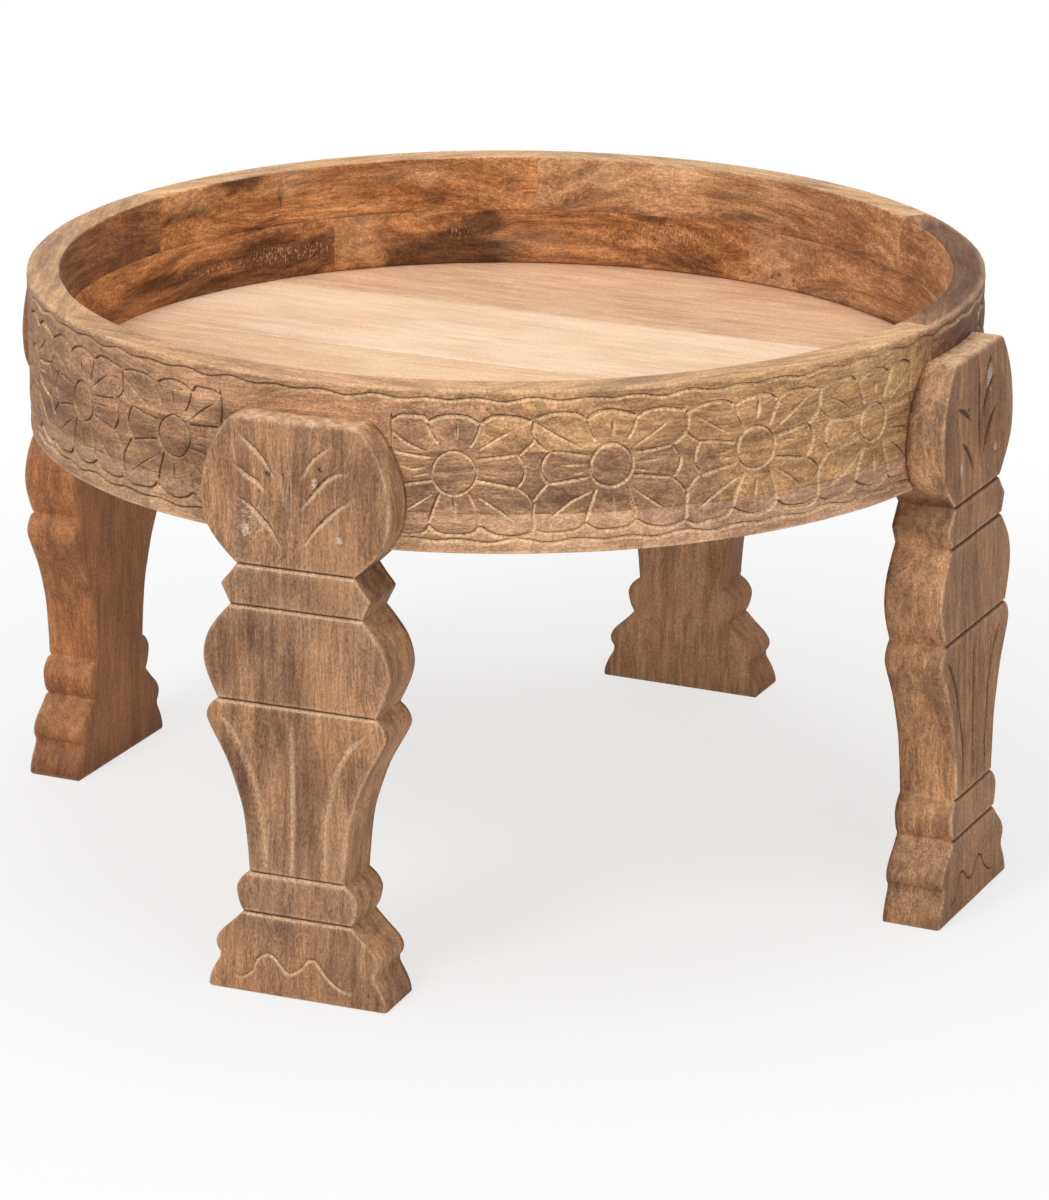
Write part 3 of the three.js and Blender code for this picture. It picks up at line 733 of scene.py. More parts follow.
# The courses from the rim down, block by block round the ring: where each block starts in degrees, the wood
# of its slot, the wood that it shows, and the chalky film on its outside. Then the corners of the section,
# how soft they are, and the steps along the edges after the outer one.
COURSES = {
    "rim_block": {
        "joints": [-92.5, -32.5, 23, 85.3, 144.7, 207.5],
        "woods": ["golden", "grey", "tan", "orange", "brown", "orange"],
        "looks": ["golden", "grey", "tan", "honey", "brown", "russet"],
        "films": [0.28, 0.1, 0.35, 0.35, 0.47, 0.25],
        "corners": [
            (RING_RADIUS, RIM_TOP), (RING_RADIUS, RIM_FOOT),
            (RING_INSIDE, RIM_FOOT), (RING_INSIDE, RIM_TOP),
        ],
        "softness": [RIM_SOFTNESS, JOINT_ARRIS, JOINT_ARRIS, RIM_SOFTNESS],
        "cells": [0.007, 0.0023, 0.003],
    },
    "wall_block": {
        "joints": [-66, -6, 53.7, 114.5, 174, 234],
        "woods": ["golden", "grey", "orange", "orange", "brown", "golden"],
        "looks": ["golden", "grey", "orange", "orange", "brown", "umber"],
        "films": [0.24, 0.33, 0.3, 0.3, 0.4, 0.23],
        "corners": [
            (RING_RADIUS, RIM_FOOT), (RING_RADIUS, WALL_FOOT),
            (RING_INSIDE, WALL_FOOT), (RING_INSIDE, RIM_FOOT),
        ],
        "softness": [JOINT_ARRIS] * 4,
        "cells": [0.007, 0.0023, 0.007],
    },
    "base_block": {
        "joints": [-75, -15, 45, 105, 165, 225],
        "woods": ["golden", "tan", "golden", "orange", "tan", "tan"],
        "looks": ["rosy", "tan", "golden", "orange", "tan", "pale"],
        "films": [0.44, 0.6, 0.55, 0.55, 0.74, 0.42],
        "corners": [
            (RING_RADIUS, WALL_FOOT), (RING_RADIUS, BASE_FOOT), (LEDGE_RADIUS, BASE_FOOT),
            (LEDGE_RADIUS, LEDGE_TOP), (FLOOR_POCKET_RADIUS, LEDGE_TOP), (FLOOR_POCKET_RADIUS, WALL_FOOT),
        ],
        "softness": [JOINT_ARRIS, 0.0014, 0.001, 0.0006, JOINT_ARRIS, JOINT_ARRIS],
        "cells": [0.005, 0.004, 0.007, 0.006, 0.006],
    },
}


def course_block(node, facts, number, seed):
    """A block's section carried along its arc. Outside, the section is cut back by the carving, by low waves
    of the sander, a sum of three sines, and in torn places by pits, a product of two sines. The plank's own
    coordinates go with each point: along the chord, out from the chord's middle, and up, from a tree's middle
    that is drawn by seed, and pulled aside round a knot."""
    draw = np.random.default_rng(seed)
    wood_name, film, rubbed = facts["woods"][number], facts["films"][number], RIM_RUBBED[number]
    start, end = (facts["joints"] + [facts["joints"][0] + 360])[number:number + 2]
    cells = [FINE_CELL if number in FRONT_BLOCKS else PLAIN_CELL, *facts["cells"]]
    outline, rounds = soft_outline(facts["corners"], facts["softness"], cells)
    radius, level = outline[:, 0], outline[:, 1]
    open_line = np.degrees(0.5 * GLUE_LINE / RING_RADIUS)
    count = int(np.ceil(np.radians(end - start) * RING_RADIUS / cells[0])) + 1
    angle = np.linspace(start + open_line, end - open_line, count)[:, None]
    drop = level[None, :] - RIM_TOP
    turn = np.radians(angle)
    outside = np.clip((radius - (RING_RADIUS - OUTER_SKIN)) / OUTER_BLEND, 0, 1)
    outer = np.flatnonzero(outside > 0)
    depth, cut, lit = np.zeros((3, count, len(radius)))
    carved = carve(np.broadcast_to(angle, (count, len(outer))), drop[:, outer])
    depth[:, outer], cut[:, outer], lit[:, outer] = carved
    depth *= outside
    swell = np.sin(23 * turn + 60 * drop) + np.sin(41 * turn - 140 * drop + 1) + np.sin(11 * turn + 2)
    inside = np.clip((RING_INSIDE + INNER_SKIN - radius) / INNER_BLEND, 0, 1)
    rough = ellipse_masks(angle, drop, [(*patch, 1.0) for patch in ROUGH_PATCHES]) * outside
    pits = np.maximum(np.sin(700 * turn + 900 * drop) * np.sin(430 * turn - 1500 * drop + 2), 0)
    depth += TORN_DEPTH * rough * pits
    reach = radius - depth + SANDER_SWELL * swell * (outside - inside)
    points = placed(reach, 0, level, turn)
    middle = np.radians(0.5 * (start + end))
    swing = turn - middle
    pith = draw.uniform([-0.5, -0.09, -0.11], [0.5, 0.09, 0.11])
    pith[2] += np.sign(pith[2]) * PITH_CLEARANCE
    lean = draw.uniform(-0.05, 0.05)
    along = radius * np.sin(swing)
    out = radius * np.cos(swing) - RING_RADIUS
    plank = np.stack([along, out + 0 * along, np.broadcast_to(level - RIM_FOOT, along.shape)], -1)
    for knot_angle, knot_level, knot_radius in INNER_KNOTS:
        across = degrees_from(knot_angle, angle) * np.radians(RING_INSIDE)
        distance = np.hypot(across, (drop - knot_level) * 2.2)
        pull = np.exp(-((distance / (3.2 * knot_radius)) ** 2)) * inside
        plank[..., 2] += KNOT_LIFT * pull
        plank[..., 1] += KNOT_SPREAD * pull
    plank[..., 2] += lean * plank[..., 0]
    plank += pith
    on_top = level > RIM_TOP - TOP_SKIN
    stain_and_shade = ellipse_masks(angle, drop, OUTER_STAINS.get(node, [])) * np.maximum(outside, on_top)
    # The pin holes are painted in here as dark spots of shade, beside the heartwood stains.
    stain_and_shade = np.maximum(stain_and_shade, ellipse_masks(angle, drop, INNER_STAINS.get(node, []) + PIN_HOLES) * inside)
    knots = [(a, z, np.degrees(r / RING_INSIDE), r * 0.8, 0.9) for a, z, r in INNER_KNOTS]
    stain_and_shade = np.maximum(stain_and_shade, ellipse_masks(angle, drop, knots) * inside)
    stain_and_shade = np.maximum(stain_and_shade, 0.75 * rough)
    edge = ellipse_masks(angle, drop, INNER_PALE.get(node, [])) * inside
    edge = np.maximum(edge, np.maximum(rounds * outside * 0.5, rubbed * on_top))
    dust = np.broadcast_to(film * outside + 0.3 * rubbed * on_top, reach.shape)
    fleck = ellipse_masks(angle, drop, INNER_FLECKS) * inside
    marks = {"plank": plank, "cut": cut, "lit": lit, "edge": edge, "dust": dust}
    marks.update({"stain_and_shade": stain_and_shade, "fleck": fleck})
    piece = skin("carved_" + node, points, marks)
    piece.data.materials.append(RING_WOODS[facts["looks"][number]])
    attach(piece, "root")
    return piece


for seed, (course, facts) in enumerate(COURSES.items()):
    for number in range(len(facts["joints"])):
        node = f"{course}_{number + 1}"
        block = course_block(node, facts, number, 100 * seed + number)
        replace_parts(block, node)

# The tray's floor is five pale boards, planed and butted edge to edge, that lie in the step of the base
# course with their ends under the wall. They run at a slant to the joints of the wall.

BOARD_TURN = math.radians(-25.6)
BOARD_TOP = 0.3017
BOARD_THICKNESS = 0.011
BOARD_RADIUS = 0.289
BOARD_SEAM = 0.00025
BOARD_ARRIS = 0.00035
BOARD_CELL = 0.004
BOARD_CUP = 0.00012
BOARD_UNDER_POINTS = 24
# How close the outer boards come to the disc's rim, and the least half length at a board's sides.
BOARD_RIM_GAP = 0.00005
BOARD_LEAST_REACH = 0.004
# Each board's share of the disc's width, and its wood.
BOARDS = [(0.2543, "far"), (0.2197, "pale"), (0.2197, "peach"), (0.1523, "pale"), (0.154, "peach")]
# Painted shade along the foot of the wall: how far in from the wall it starts, and over what distance it
# darkens.
WALL_SHADE_REACH = 0.009
WALL_SHADE_BLEND = 0.008
# The warmer end of the boards on the left: its middle in the frame, its half sizes and its strength.
WARM_END = (-0.24, 0.02, 0.15, 0.2, 0.6)

FLOOR_FINISH_AND_LIGHT = {
    "Dust Colour": (236, 206, 176),
    "Cut Shade And Wax Colour": (150, 100, 70),
    "Edge Colour": (236, 196, 156),
    "Fleck Colour": (236, 206, 176),
    "Stain Tint": (190, 158, 148),
    "Grit": 0.4,
}
FLOOR_BAND_WIDTH = 0.03
FLOOR_FINENESS = 1.1
FLOOR_RELIEF = 0.12
FLOOR_WANDER = 0.02
# The floor's woods: light, dark and heart colour, contrast of the fibres, and pore depth.
FLOOR_TONES = {
    "far": ((214, 168, 130), (198, 148, 110), (184, 132, 94), 0.07, 0.15),
    "pale": ((243, 212, 180), (233, 194, 156), (218, 172, 130), 0.06, 0.12),
    "peach": ((235, 196, 155), (223, 177, 133), (208, 156, 111), 0.07, 0.15),
}
FLOOR_WOODS = {}
for tone, (light, dark, heart, contrast, pore_depth) in FLOOR_TONES.items():
    FLOOR_WOODS[tone] = wood(
        "floor_wood_" + tone, light, dark, heart, FLOOR_BAND_WIDTH, contrast, pore_depth,
        FLOOR_FINENESS, FLOOR_RELIEF, FLOOR_FINISH_AND_LIGHT, FLOOR_WANDER,
    )


def floor_board(name, material, near, far, seed):
    """A strip of a disc. At each distance v from the middle line the board reaches as far along as the disc
    does, the square root of its radius squared minus v squared. Loops of top and underside follow each
    other across the board, and the first and last are let down a little for the softened arris."""
    draw = np.random.default_rng(seed)
    near_turn, far_turn = math.asin(near / BOARD_RADIUS), math.asin(far / BOARD_RADIUS)
    spread = np.linspace(near_turn, far_turn, int((far - near) / BOARD_CELL) + 9)
    v = BOARD_RADIUS * np.sin(spread)
    v = np.concatenate([[v[0]], [v[0] + BOARD_ARRIS], v[1:-1], [v[-1] - BOARD_ARRIS], [v[-1]]])
    reach = np.sqrt(np.maximum(BOARD_RADIUS**2 - v**2, BOARD_LEAST_REACH**2))[:, None]
    along = np.linspace(-1, 1, int(2 * BOARD_RADIUS / BOARD_CELL))
    back = np.linspace(1, -1, BOARD_UNDER_POINTS)
    u = np.hstack([reach * along, reach * back])
    v = np.broadcast_to(v[:, None], u.shape)
    top = np.broadcast_to(np.concatenate([np.ones(len(along)), np.zeros(len(back))]), u.shape)
    let_down = np.zeros(u.shape)
    let_down[[0, -1]] = BOARD_ARRIS
    cup = BOARD_CUP * np.cos(math.pi * (v - near) / (far - near)) * draw.choice([-1, 1])
    height = BOARD_TOP - BOARD_THICKNESS * (1 - top) - (2 * top - 1) * let_down + top * (cup - BOARD_CUP)
    points = placed(u, v, height, BOARD_TURN)
    pith = draw.uniform([-0.4, -0.25, 0.05], [0.4, -0.12, 0.1])
    plank = np.stack([u, v + 0.05 * u * draw.uniform(-0.4, 0.4), height - BOARD_TOP], -1) + pith
    # Painted shade on the boards where they meet the wall.
    wall_shade = np.clip((np.hypot(u, v) - (RING_INSIDE - WALL_SHADE_REACH)) / WALL_SHADE_BLEND, 0, 1) ** 1.5
    warm_x, warm_y, warm_wide, warm_deep, warmth = WARM_END
    far_off = ((points[..., 0] - warm_x) / warm_wide) ** 2 + ((points[..., 1] - warm_y) / warm_deep) ** 2
    stain_and_shade = np.maximum(0.55 * wall_shade, warmth * np.exp(-far_off)) * top
    marks = {"plank": plank, "dust": 0.45 * top, "stain_and_shade": stain_and_shade}
    piece = skin(name, points, marks)
    piece.data.materials.append(material)
    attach(piece, "root")
    return piece


board_edge = BOARD_RADIUS
for number, (share, tone) in enumerate(BOARDS):
    far_edge, board_edge = board_edge, board_edge - share * 2 * BOARD_RADIUS
    near = max(board_edge, -BOARD_RADIUS + BOARD_RIM_GAP) + 0.5 * BOARD_SEAM
    far = min(far_edge, BOARD_RADIUS - BOARD_RIM_GAP) - 0.5 * BOARD_SEAM
    board = floor_board(f"planed_board_{number + 1}", FLOOR_WOODS[tone], near, far, 40 + number)
    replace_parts(board, f"floor_board_{number + 1}")

# Two battens hold the boards together from below. They are plain sawn bars with eased edges, each fixed
# with five countersunk screws.

BATTEN_WIDTH = 0.048
BATTEN_THICKNESS = 0.012
BATTEN_LINE = 0.100
BATTEN_EASE = 0.0012
BATTEN_ARRIS = 0.0003
BATTEN_END_GAP = 0.001
BATTEN_STEP = 0.0015
UNDER_SKIN = 0.0004
SAW_DEPTH = 0.00008
# The dish that a screw's head presses into a batten: its radius, the width of its slope, and its depth.
DISH_RADIUS = 0.0049
DISH_BLEND = 0.0012
DISH_DEPTH = 0.0008

BATTEN_FINISH_AND_LIGHT = {
    "Dust Colour": (206, 172, 138),
    "Cut Shade And Wax Colour": (96, 66, 44),
    "Edge Colour": (214, 178, 140),
    "Fleck Colour": (214, 178, 140),
    "Stain Tint": (180, 160, 150),
    "Grit": 1.0,
}
BATTEN_WOOD = wood(
    "batten_wood", (204, 162, 120), (176, 130, 90), (132, 90, 58),
    band_width=0.008, contrast=0.2, pore_depth=0.5, fineness=1.0, relief=0.5, finish_and_light=BATTEN_FINISH_AND_LIGHT,
)

SCREW_PLACES = []
for number in range(10):
    low, high = (np.array(corner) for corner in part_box(f"batten_screw_{number + 1}"))
    SCREW_PLACES.append((0.5 * (low + high))[:2])
SCREW_PLACES = np.array(SCREW_PLACES)


def batten(name, side, seed):
    """A bar's section, a rectangle with eased corners, carried along its length, with a shallow dish round
    each screw on the underside: a step down between two distances from the screw's middle."""
    draw = np.random.default_rng(seed)
    half = 0.5 * BATTEN_WIDTH
    corners = [(-half, 0), (half, 0), (half, -BATTEN_THICKNESS), (-half, -BATTEN_THICKNESS)]
    softness = [BATTEN_ARRIS, BATTEN_ARRIS, BATTEN_EASE, BATTEN_EASE]
    outline, rounds = soft_outline(corners, softness, [0.008, 0.004, 0.0011, 0.004])
    reach = math.sqrt((LEDGE_RADIUS - BATTEN_END_GAP) ** 2 - (BATTEN_LINE + half) ** 2)
    along = np.linspace(-reach, reach, int(2 * reach / BATTEN_STEP))[:, None]
    across = np.broadcast_to(outline[:, 0] + side * BATTEN_LINE, (len(along), len(outline)))
    points = placed(across, along, LEDGE_TOP, BOARD_TURN)
    under = outline[:, 1] < -BATTEN_THICKNESS + UNDER_SKIN
    dish = np.zeros(across.shape)
    for screw_x, screw_y in SCREW_PLACES:
        distance = np.hypot(points[..., 0] - screw_x, points[..., 1] - screw_y)
        dish = np.maximum(dish, np.clip((DISH_RADIUS - distance) / DISH_BLEND, 0, 1))
    height = outline[:, 1] + LEDGE_TOP + DISH_DEPTH * dish * under
    points[..., 2] = height + SAW_DEPTH * np.sin(along * 2400) * under
    pith = draw.uniform([-0.4, 0.05, -0.12], [0.4, 0.12, -0.06])
    plank = np.stack([np.broadcast_to(along, across.shape), across, height - LEDGE_TOP], -1) + pith
    edge = np.broadcast_to(rounds * 0.5, across.shape)
    # The screws' dishes are marked as cut, so they take the painted shade and dark wax of a cut.
    marks = {"plank": plank, "cut": 0.5 * dish * under, "edge": edge, "dust": np.full(across.shape, 0.4)}
    piece = skin(name, points, marks)
    piece.data.materials.append(BATTEN_WOOD)
    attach(piece, "root")
    return piece


for number, side in enumerate((-1, 1)):
    bar = batten(f"sawn_batten_{number + 1}", side, 60 + number)
    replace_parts(bar, f"floor_batten_{number + 1}")


SCRATCH_DEPTH = 0.0002


def steel(name, colour, rust):
    """Dull steel: grey with brown rust in clouds, which are also rougher and less metallic, and fine
    scratches as a bump."""
    material, tree, shader = new_material(name)
    place = add_node(tree, "ShaderNodeTexCoord").outputs["Object"]
    clouds = noise(tree, scaled(tree, place, (520, 520, 520)), 4, 0.6)
    scratches = noise(tree, scaled(tree, place, (3000, 900, 900)), 2)
    rusty = span(tree, clouds, 0.5, 0.68, 0.0, 0.85)
    tree.links.new(blend(tree, rusty, paint(colour), paint(rust)), shader.inputs["Base Color"])
    tree.links.new(span(tree, rusty, 0.0, 1.0, 1.0, 0.1), shader.inputs["Metallic"])
    tree.links.new(span(tree, clouds, 0.3, 0.7, 0.34, 0.72), shader.inputs["Roughness"])
    sockets = {"Strength": 0.3, "Distance": SCRATCH_DEPTH, "Height": scratches}
    bump = add_node(tree, "ShaderNodeBump", sockets)
    tree.links.new(bump.outputs["Normal"], shader.inputs["Normal"])
    return material


SCREW_STEEL = steel("screw_steel", (176, 172, 164), (112, 74, 48))
SCREW_SET = 0.0005
# A screw's section in millimetres: how far from its axis, and how far above the face of its head.
SCREW_SECTION = [(0.3 * ring, 0) for ring in range(1, 8)]
SCREW_SECTION += [(2.6, 0), (3.1, 0.03), (3.4, 0.1), (3.5, 0.3), (3.4, 0.5)]
SCREW_SECTION += [(1.75, 2.2), (1.75, 8), (1.75, 12.5), (0.6, 16)]
# The cross in its head: half the width of a bar and the slope beside it, how far out the bars go and the
# slope at their ends, and how deep they are sunk.
CROSS_HALF = 0.00045
CROSS_BLEND = 0.0002
CROSS_REACH = 0.0023
CROSS_END = 0.0003
CROSS_DEPTH = 0.0011


def batten_screw(name, number):
    """A countersunk screw turned about its own axis: the section goes from the middle of the head out to its
    rim, and from there along the cone and the shank to the point. A cross is sunk in the head where a point
    is less than half a bar from the middle line of either bar, and fades out towards the head's rim."""
    turn = np.linspace(0, 2 * math.pi, 48, endpoint=False)
    radius, depth = np.array(SCREW_SECTION).T[..., None] * MM
    bar = radius * np.minimum(np.abs(np.cos(turn)), np.abs(np.sin(turn)))
    sunk = np.clip((CROSS_HALF - bar) / CROSS_BLEND, 0, 1) * np.clip((CROSS_REACH - radius) / CROSS_END, 0, 1)
    height = LEDGE_TOP - BATTEN_THICKNESS + SCREW_SET + depth + CROSS_DEPTH * sunk * (depth == 0)
    piece = skin(name, placed(radius, 0, height, turn + number * 0.7, SCREW_PLACES[number]), {})
    piece.data.materials.append(SCREW_STEEL)
    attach(piece, "root")
    return piece


for number in range(10):
    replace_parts(batten_screw(f"countersunk_screw_{number + 1}", number), f"batten_screw_{number + 1}")

# Four legs are sawn from slabs to one outline that looks turned, coped to the wall behind their head, and
# scored, fluted and carved with a leaf sprig and a wave on their front. Edges are rubbed round by hand.

LEG_TURNS = {"front_left": -112.8, "front_right": -26.2, "back_right": 64.5, "back_left": 154.8}
LEG_HEIGHT = 0.355
LEG_FRONT = 0.3173
LEG_THICKNESS = 0.0375
LEG_SPLAY = 0.007
LEG_SEAT = 0.3003
LEG_SHOULDER = 0.2777
LEG_EASE = 0.0022
LEG_CELL = 0.001
# Points of a loop along the front, round an eased corner, along a side and along the back, ends counted.
FACE_POINTS = 118
CORNER_POINTS = 5
SIDE_POINTS = 10
BACK_POINTS = 15
LEG_GROOVES = [0.266, 0.241, 0.182, 0.0765, 0.051]
GROOVE_HALF = 0.0016
GROOVE_DEPTH = 0.0018
# The leg's members from the top down: height, greatest half width, and the outline as shares of both.
LEG_MEMBERS = [
    (0.089, 0.060, [(0, 0.67), (0.05, 0.74), (0.16, 0.85), (0.33, 0.955), (0.5, 1), (0.64, 0.99),
                    (0.75, 0.945), (0.87, 0.82), (1, 0.625)]),
    (0.025, 0.0475, [(0, 0.79), (0.25, 0.89), (0.48, 0.99), (0.58, 0.99), (0.85, 0.92), (1, 0.885)]),
    (0.059, 0.0595, [(0, 0.705), (0.13, 0.82), (0.3, 0.94), (0.5, 1), (0.66, 0.99), (0.82, 0.935),
                     (1, 0.85)]),
    (0.1055, 0.058, [(0, 0.875), (0.04, 0.955), (0.1, 1), (0.16, 0.965), (0.26, 0.865), (0.36, 0.77),
                     (0.5, 0.675), (0.64, 0.6), (0.8, 0.56), (1, 0.53)]),
    (0.0255, 0.0393, [(0, 0.79), (0.17, 0.92), (0.4, 1), (0.65, 0.985), (0.85, 0.945), (1, 0.89)]),
    (0.02754, 0.0585, [(0, 0.6), (0.26, 0.72), (0.52, 0.85), (0.72, 0.905), (0.89, 0.9), (1, 0.865)]),
    (0.02346, 0.0585, [(0, 0.865), (0.17, 0.87), (0.43, 0.93), (0.72, 0.98), (1, 1)]),
]

# Strokes on a leg's front, in millimetres to the right of its middle line and below the rim.
SPRIG = [
    [(-5, -38), (-4, -60), (-2.5, -90)],
    [(-8, -45), (-6.5, -58), (-6, -72)],
    [(-35.5, -30.5), (-29.5, -36), (-23.5, -41), (-17.5, -47), (-12.5, -55.5)],
    [(-36.5, -49.5), (-29.5, -55), (-23.5, -59), (-17.5, -65)],
    [(-37.5, -68.5), (-29.5, -73), (-23.5, -77.5), (-16.5, -85), (-8.5, -96)],
    [(23.5, -31.5), (17.5, -37), (10.5, -44), (3.5, -55)],
    [(33.5, -47), (26.5, -49), (19.5, -54), (11.5, -63), (3.5, -73)],
    [(35.5, -64), (27.5, -69), (19.5, -76), (12.5, -84), (5, -95)],
]
LONE_STEM_SPRIG = [
    [(0, -25), (1, -60), (3, -96)],
    [(23, -28), (15, -35), (9, -44)],
    [(26, -42), (16, -50), (10, -57), (7.5, -66)],
    [(32, -61), (20, -70), (12, -81), (8.5, -91)],
    [(-35, -48), (-21, -55), (-12, -62)],
    [(-28, -72), (-16, -81), (-8, -94)],
]
FLUTES = [
    [(-50, -202), (-43.5, -209), (-36.5, -220), (-29.5, -236), (-25.5, -250), (-21.5, -264),
     (-20, -278), (-20, -296)],
    [(-3, -200), (-3.3, -240), (-3, -297)],
    [(44, -205), (36.5, -211), (30.5, -220), (25.5, -231), (22, -244), (20, -258),
     (18.5, -272), (18, -296)],
]
FOOT_WAVE = [
    [(-42, -366), (-36, -366), (-30, -362), (-26, -354), (-21, -350.5), (-16, -350.5),
     (-11, -355), (-6, -359), (-3, -359), (2, -356), (6, -350.5), (10, -349), (14, -351),
     (18, -356), (22, -361), (29, -365), (38, -366)],
]
# How deep a sprig's strokes are for their width, and the share of each that runs out at its ends.
SPRIG_STEEPNESS = 0.55
SPRIG_RUN_OUT = 0.4
# How flutes and the wave are cut: width and depth in millimetres, the share that runs out, and how much
# dust fills the cut.
FLUTE_CUT = (4.8, 1.8, 0.12, 1.0)
WAVE_CUT = (2.8, 1.5, 0.08, 0.0)
# Each leg's sprig, which way round it is, the width of its strokes, how strongly the painted highlight and
# pale dust show on its cuts, least on a front that faces away from the key lamp, and the seed of its hand
# work.
LEG_CARVINGS = {
    "front_left": (SPRIG, 1, 3.6, 1.0, 11),
    "front_right": (LONE_STEM_SPRIG, 1, 5.2, 0.0, 12),
    "back_right": (SPRIG, -1, 4.0, 0.8, 13),
    "back_left": (LONE_STEM_SPRIG, -1, 4.0, 0.8, 14),
}
NAIL_PLACES = [(-16.5, -53.5), (16.5, -47.5)]
NAIL_HOLE = 0.0017
NAIL_HOLE_BLEND = 0.0006
NAIL_HOLE_DEPTH = 0.0022
# How far past its line a stroke is worked out, and the depth at which the painted shade and dark wax in a cut
# are as dark as they get.
LEG_STROKE_WINDOW = 0.004
LEG_DARK_DEPTH = 0.0016

# Filler over the screws, and dark places on the front: millimetres to the right of the middle line and
# below the rim, half width, half height and strength.
FILLER_SPOTS = {
    "front_left": [
        (-31, -87.5, 2.2, 4, 2.4), (28, -88, 2, 2, 2.4), (13, -56, 1.4, 3.6, 2.4), (-28, -82, 16, 18, 0.5),
    ],
    "front_right": [(-29, -88, 2, 4, 2.4), (29, -88.5, 2, 3, 2.4), (17, -42, 4.2, 7.5, 2.4)],
    "back_right": [(-29, -88.5, 3, 4, 2.4), (29, -88.5, 3, 4.5, 2.4)],
    "back_left": [(-29, -88.5, 3, 4.5, 2.4), (29, -88.5, 3.5, 3.5, 2.4)],
}
LEG_STAINS = {
    "front_left": [
        (-48, -165, 14, 24, 1.1), (-25, -152, 24, 14, 0.9), (-3, -172, 13, 28, 0.8), (-38, -240, 12, 30, 0.9),
        (6, -250, 18, 50, 0.85), (5, -60, 14, 40, 0.5), (-20, -330, 26, 12, 0.6), (-10, -118, 40, 9, 0.5),
        (-6, -215, 34, 14, 0.5), (20, -352, 22, 14, 0.5),
    ],
    "front_right": [
        (8, -70, 16, 36, 0.5), (-20, -160, 20, 22, 0.5), (12, -240, 10, 40, 0.4), (20, -340, 20, 16, 0.4),
    ],
    "back_right": [
        (-14, -70, 18, 30, 0.5), (20, -170, 20, 18, 0.6), (0, -260, 12, 30, 0.4), (-24, -345, 20, 14, 0.4),
    ],
    "back_left": [
        (16, -80, 18, 24, 0.5), (-24, -166, 18, 20, 0.6), (6, -246, 10, 40, 0.4), (0, -350, 26, 12, 0.4),
    ],
}
# The sides are darker from the sole up to a height, and carry painted shade round a height below the head.
SOLE_DARKENING_TOP = 0.045
HEAD_SHADE_HEIGHT = 0.262
HEAD_SHADE_HALF = 0.016
# Over what distance from an edge, from an end and from the lip of a groove the wood is rubbed pale.
EDGE_REACH = 0.0017
END_REACH = 0.0016
LIP_REACH = 0.0008
LIP_PLACE = 0.0022
# How far off the back a side is rubbed, and how close to the back or the top a point belongs to it.
SIDE_MARGIN = 0.003
BACK_SKIN = 0.0004
HEAD_SKIN = 0.0002
SCRAPER_SWELL = 0.00012

LEG_FINISH_AND_LIGHT = {
    "Dust Colour": (160, 128, 102),
    "Cut Shade And Wax Colour": (56, 35, 22),
    "Edge Colour": (216, 178, 140),
    "Fleck Colour": (200, 180, 162),
    "Stain Tint": (162, 140, 122),
    "Grit": 1.0,
}
LEG_WOOD = wood(
    "leg_wood", (176, 127, 86), (132, 89, 56), (84, 54, 34),
    band_width=0.010, contrast=0.28, pore_depth=0.7, fineness=0.9, relief=0.55, finish_and_light=LEG_FINISH_AND_LIGHT,
)
WARM_LEG_WOOD = wood(
    "leg_wood_warm", (174, 116, 72), (145, 93, 56), (107, 66, 38),
    band_width=0.012, contrast=0.18, pore_depth=0.6, fineness=0.9, relief=0.55, finish_and_light=LEG_FINISH_AND_LIGHT,
)
# The wood of each leg, the film on its front, how pale its sides are rubbed, and how pale its back is made:
# paler sawn wood, and painted light where a back lies in the tray's shade, most on the back right leg.
LEG_LOOKS = {
    "front_left": (LEG_WOOD, 0.5, 0.3, 0.1),
    "front_right": (LEG_WOOD, 0.36, 0.26, 0.1),
    "back_right": (WARM_LEG_WOOD, 0.5, 0.3, 0.64),
    "back_left": (WARM_LEG_WOOD, 0.5, 0.0, 0.12),
}


def leg_half_width():
    """The leg's outline as heights and half widths, upwards: a smooth line through each member's shares."""
    top, heights, widths = LEG_HEIGHT, [], []
    for height, half_width, shares in LEG_MEMBERS:
        line = smooth_line(shares, 6)
        heights.append(top - line[:, 0] * height)
        widths.append(line[:, 1] * half_width)
        top -= height
    return np.concatenate(heights)[::-1], np.concatenate(widths)[::-1]


def leg_rows():
    """Heights of the leg's loops: even steps, without those that come near one of the heights that are put
    in. These are the grooves' bottoms and lips, the coping's shoulder, and the rounding of both ends."""
    rounding = np.array([0.24, 0.64, 1.12]) * MM
    fixed = [[groove - GROOVE_HALF, groove, groove + GROOVE_HALF] for groove in LEG_GROOVES]
    fixed += [[LEG_HEIGHT, LEG_SHOULDER - 0.2 * MM, LEG_SHOULDER + 0.2 * MM], LEG_HEIGHT - rounding, rounding]
    fixed = np.sort(np.concatenate(fixed))
    even = np.arange(0, LEG_HEIGHT, LEG_CELL)
    far = np.min(np.abs(even[:, None] - fixed[None, :]), axis=1) > 0.35 * MM
    return np.sort(np.concatenate([even[far], fixed]))


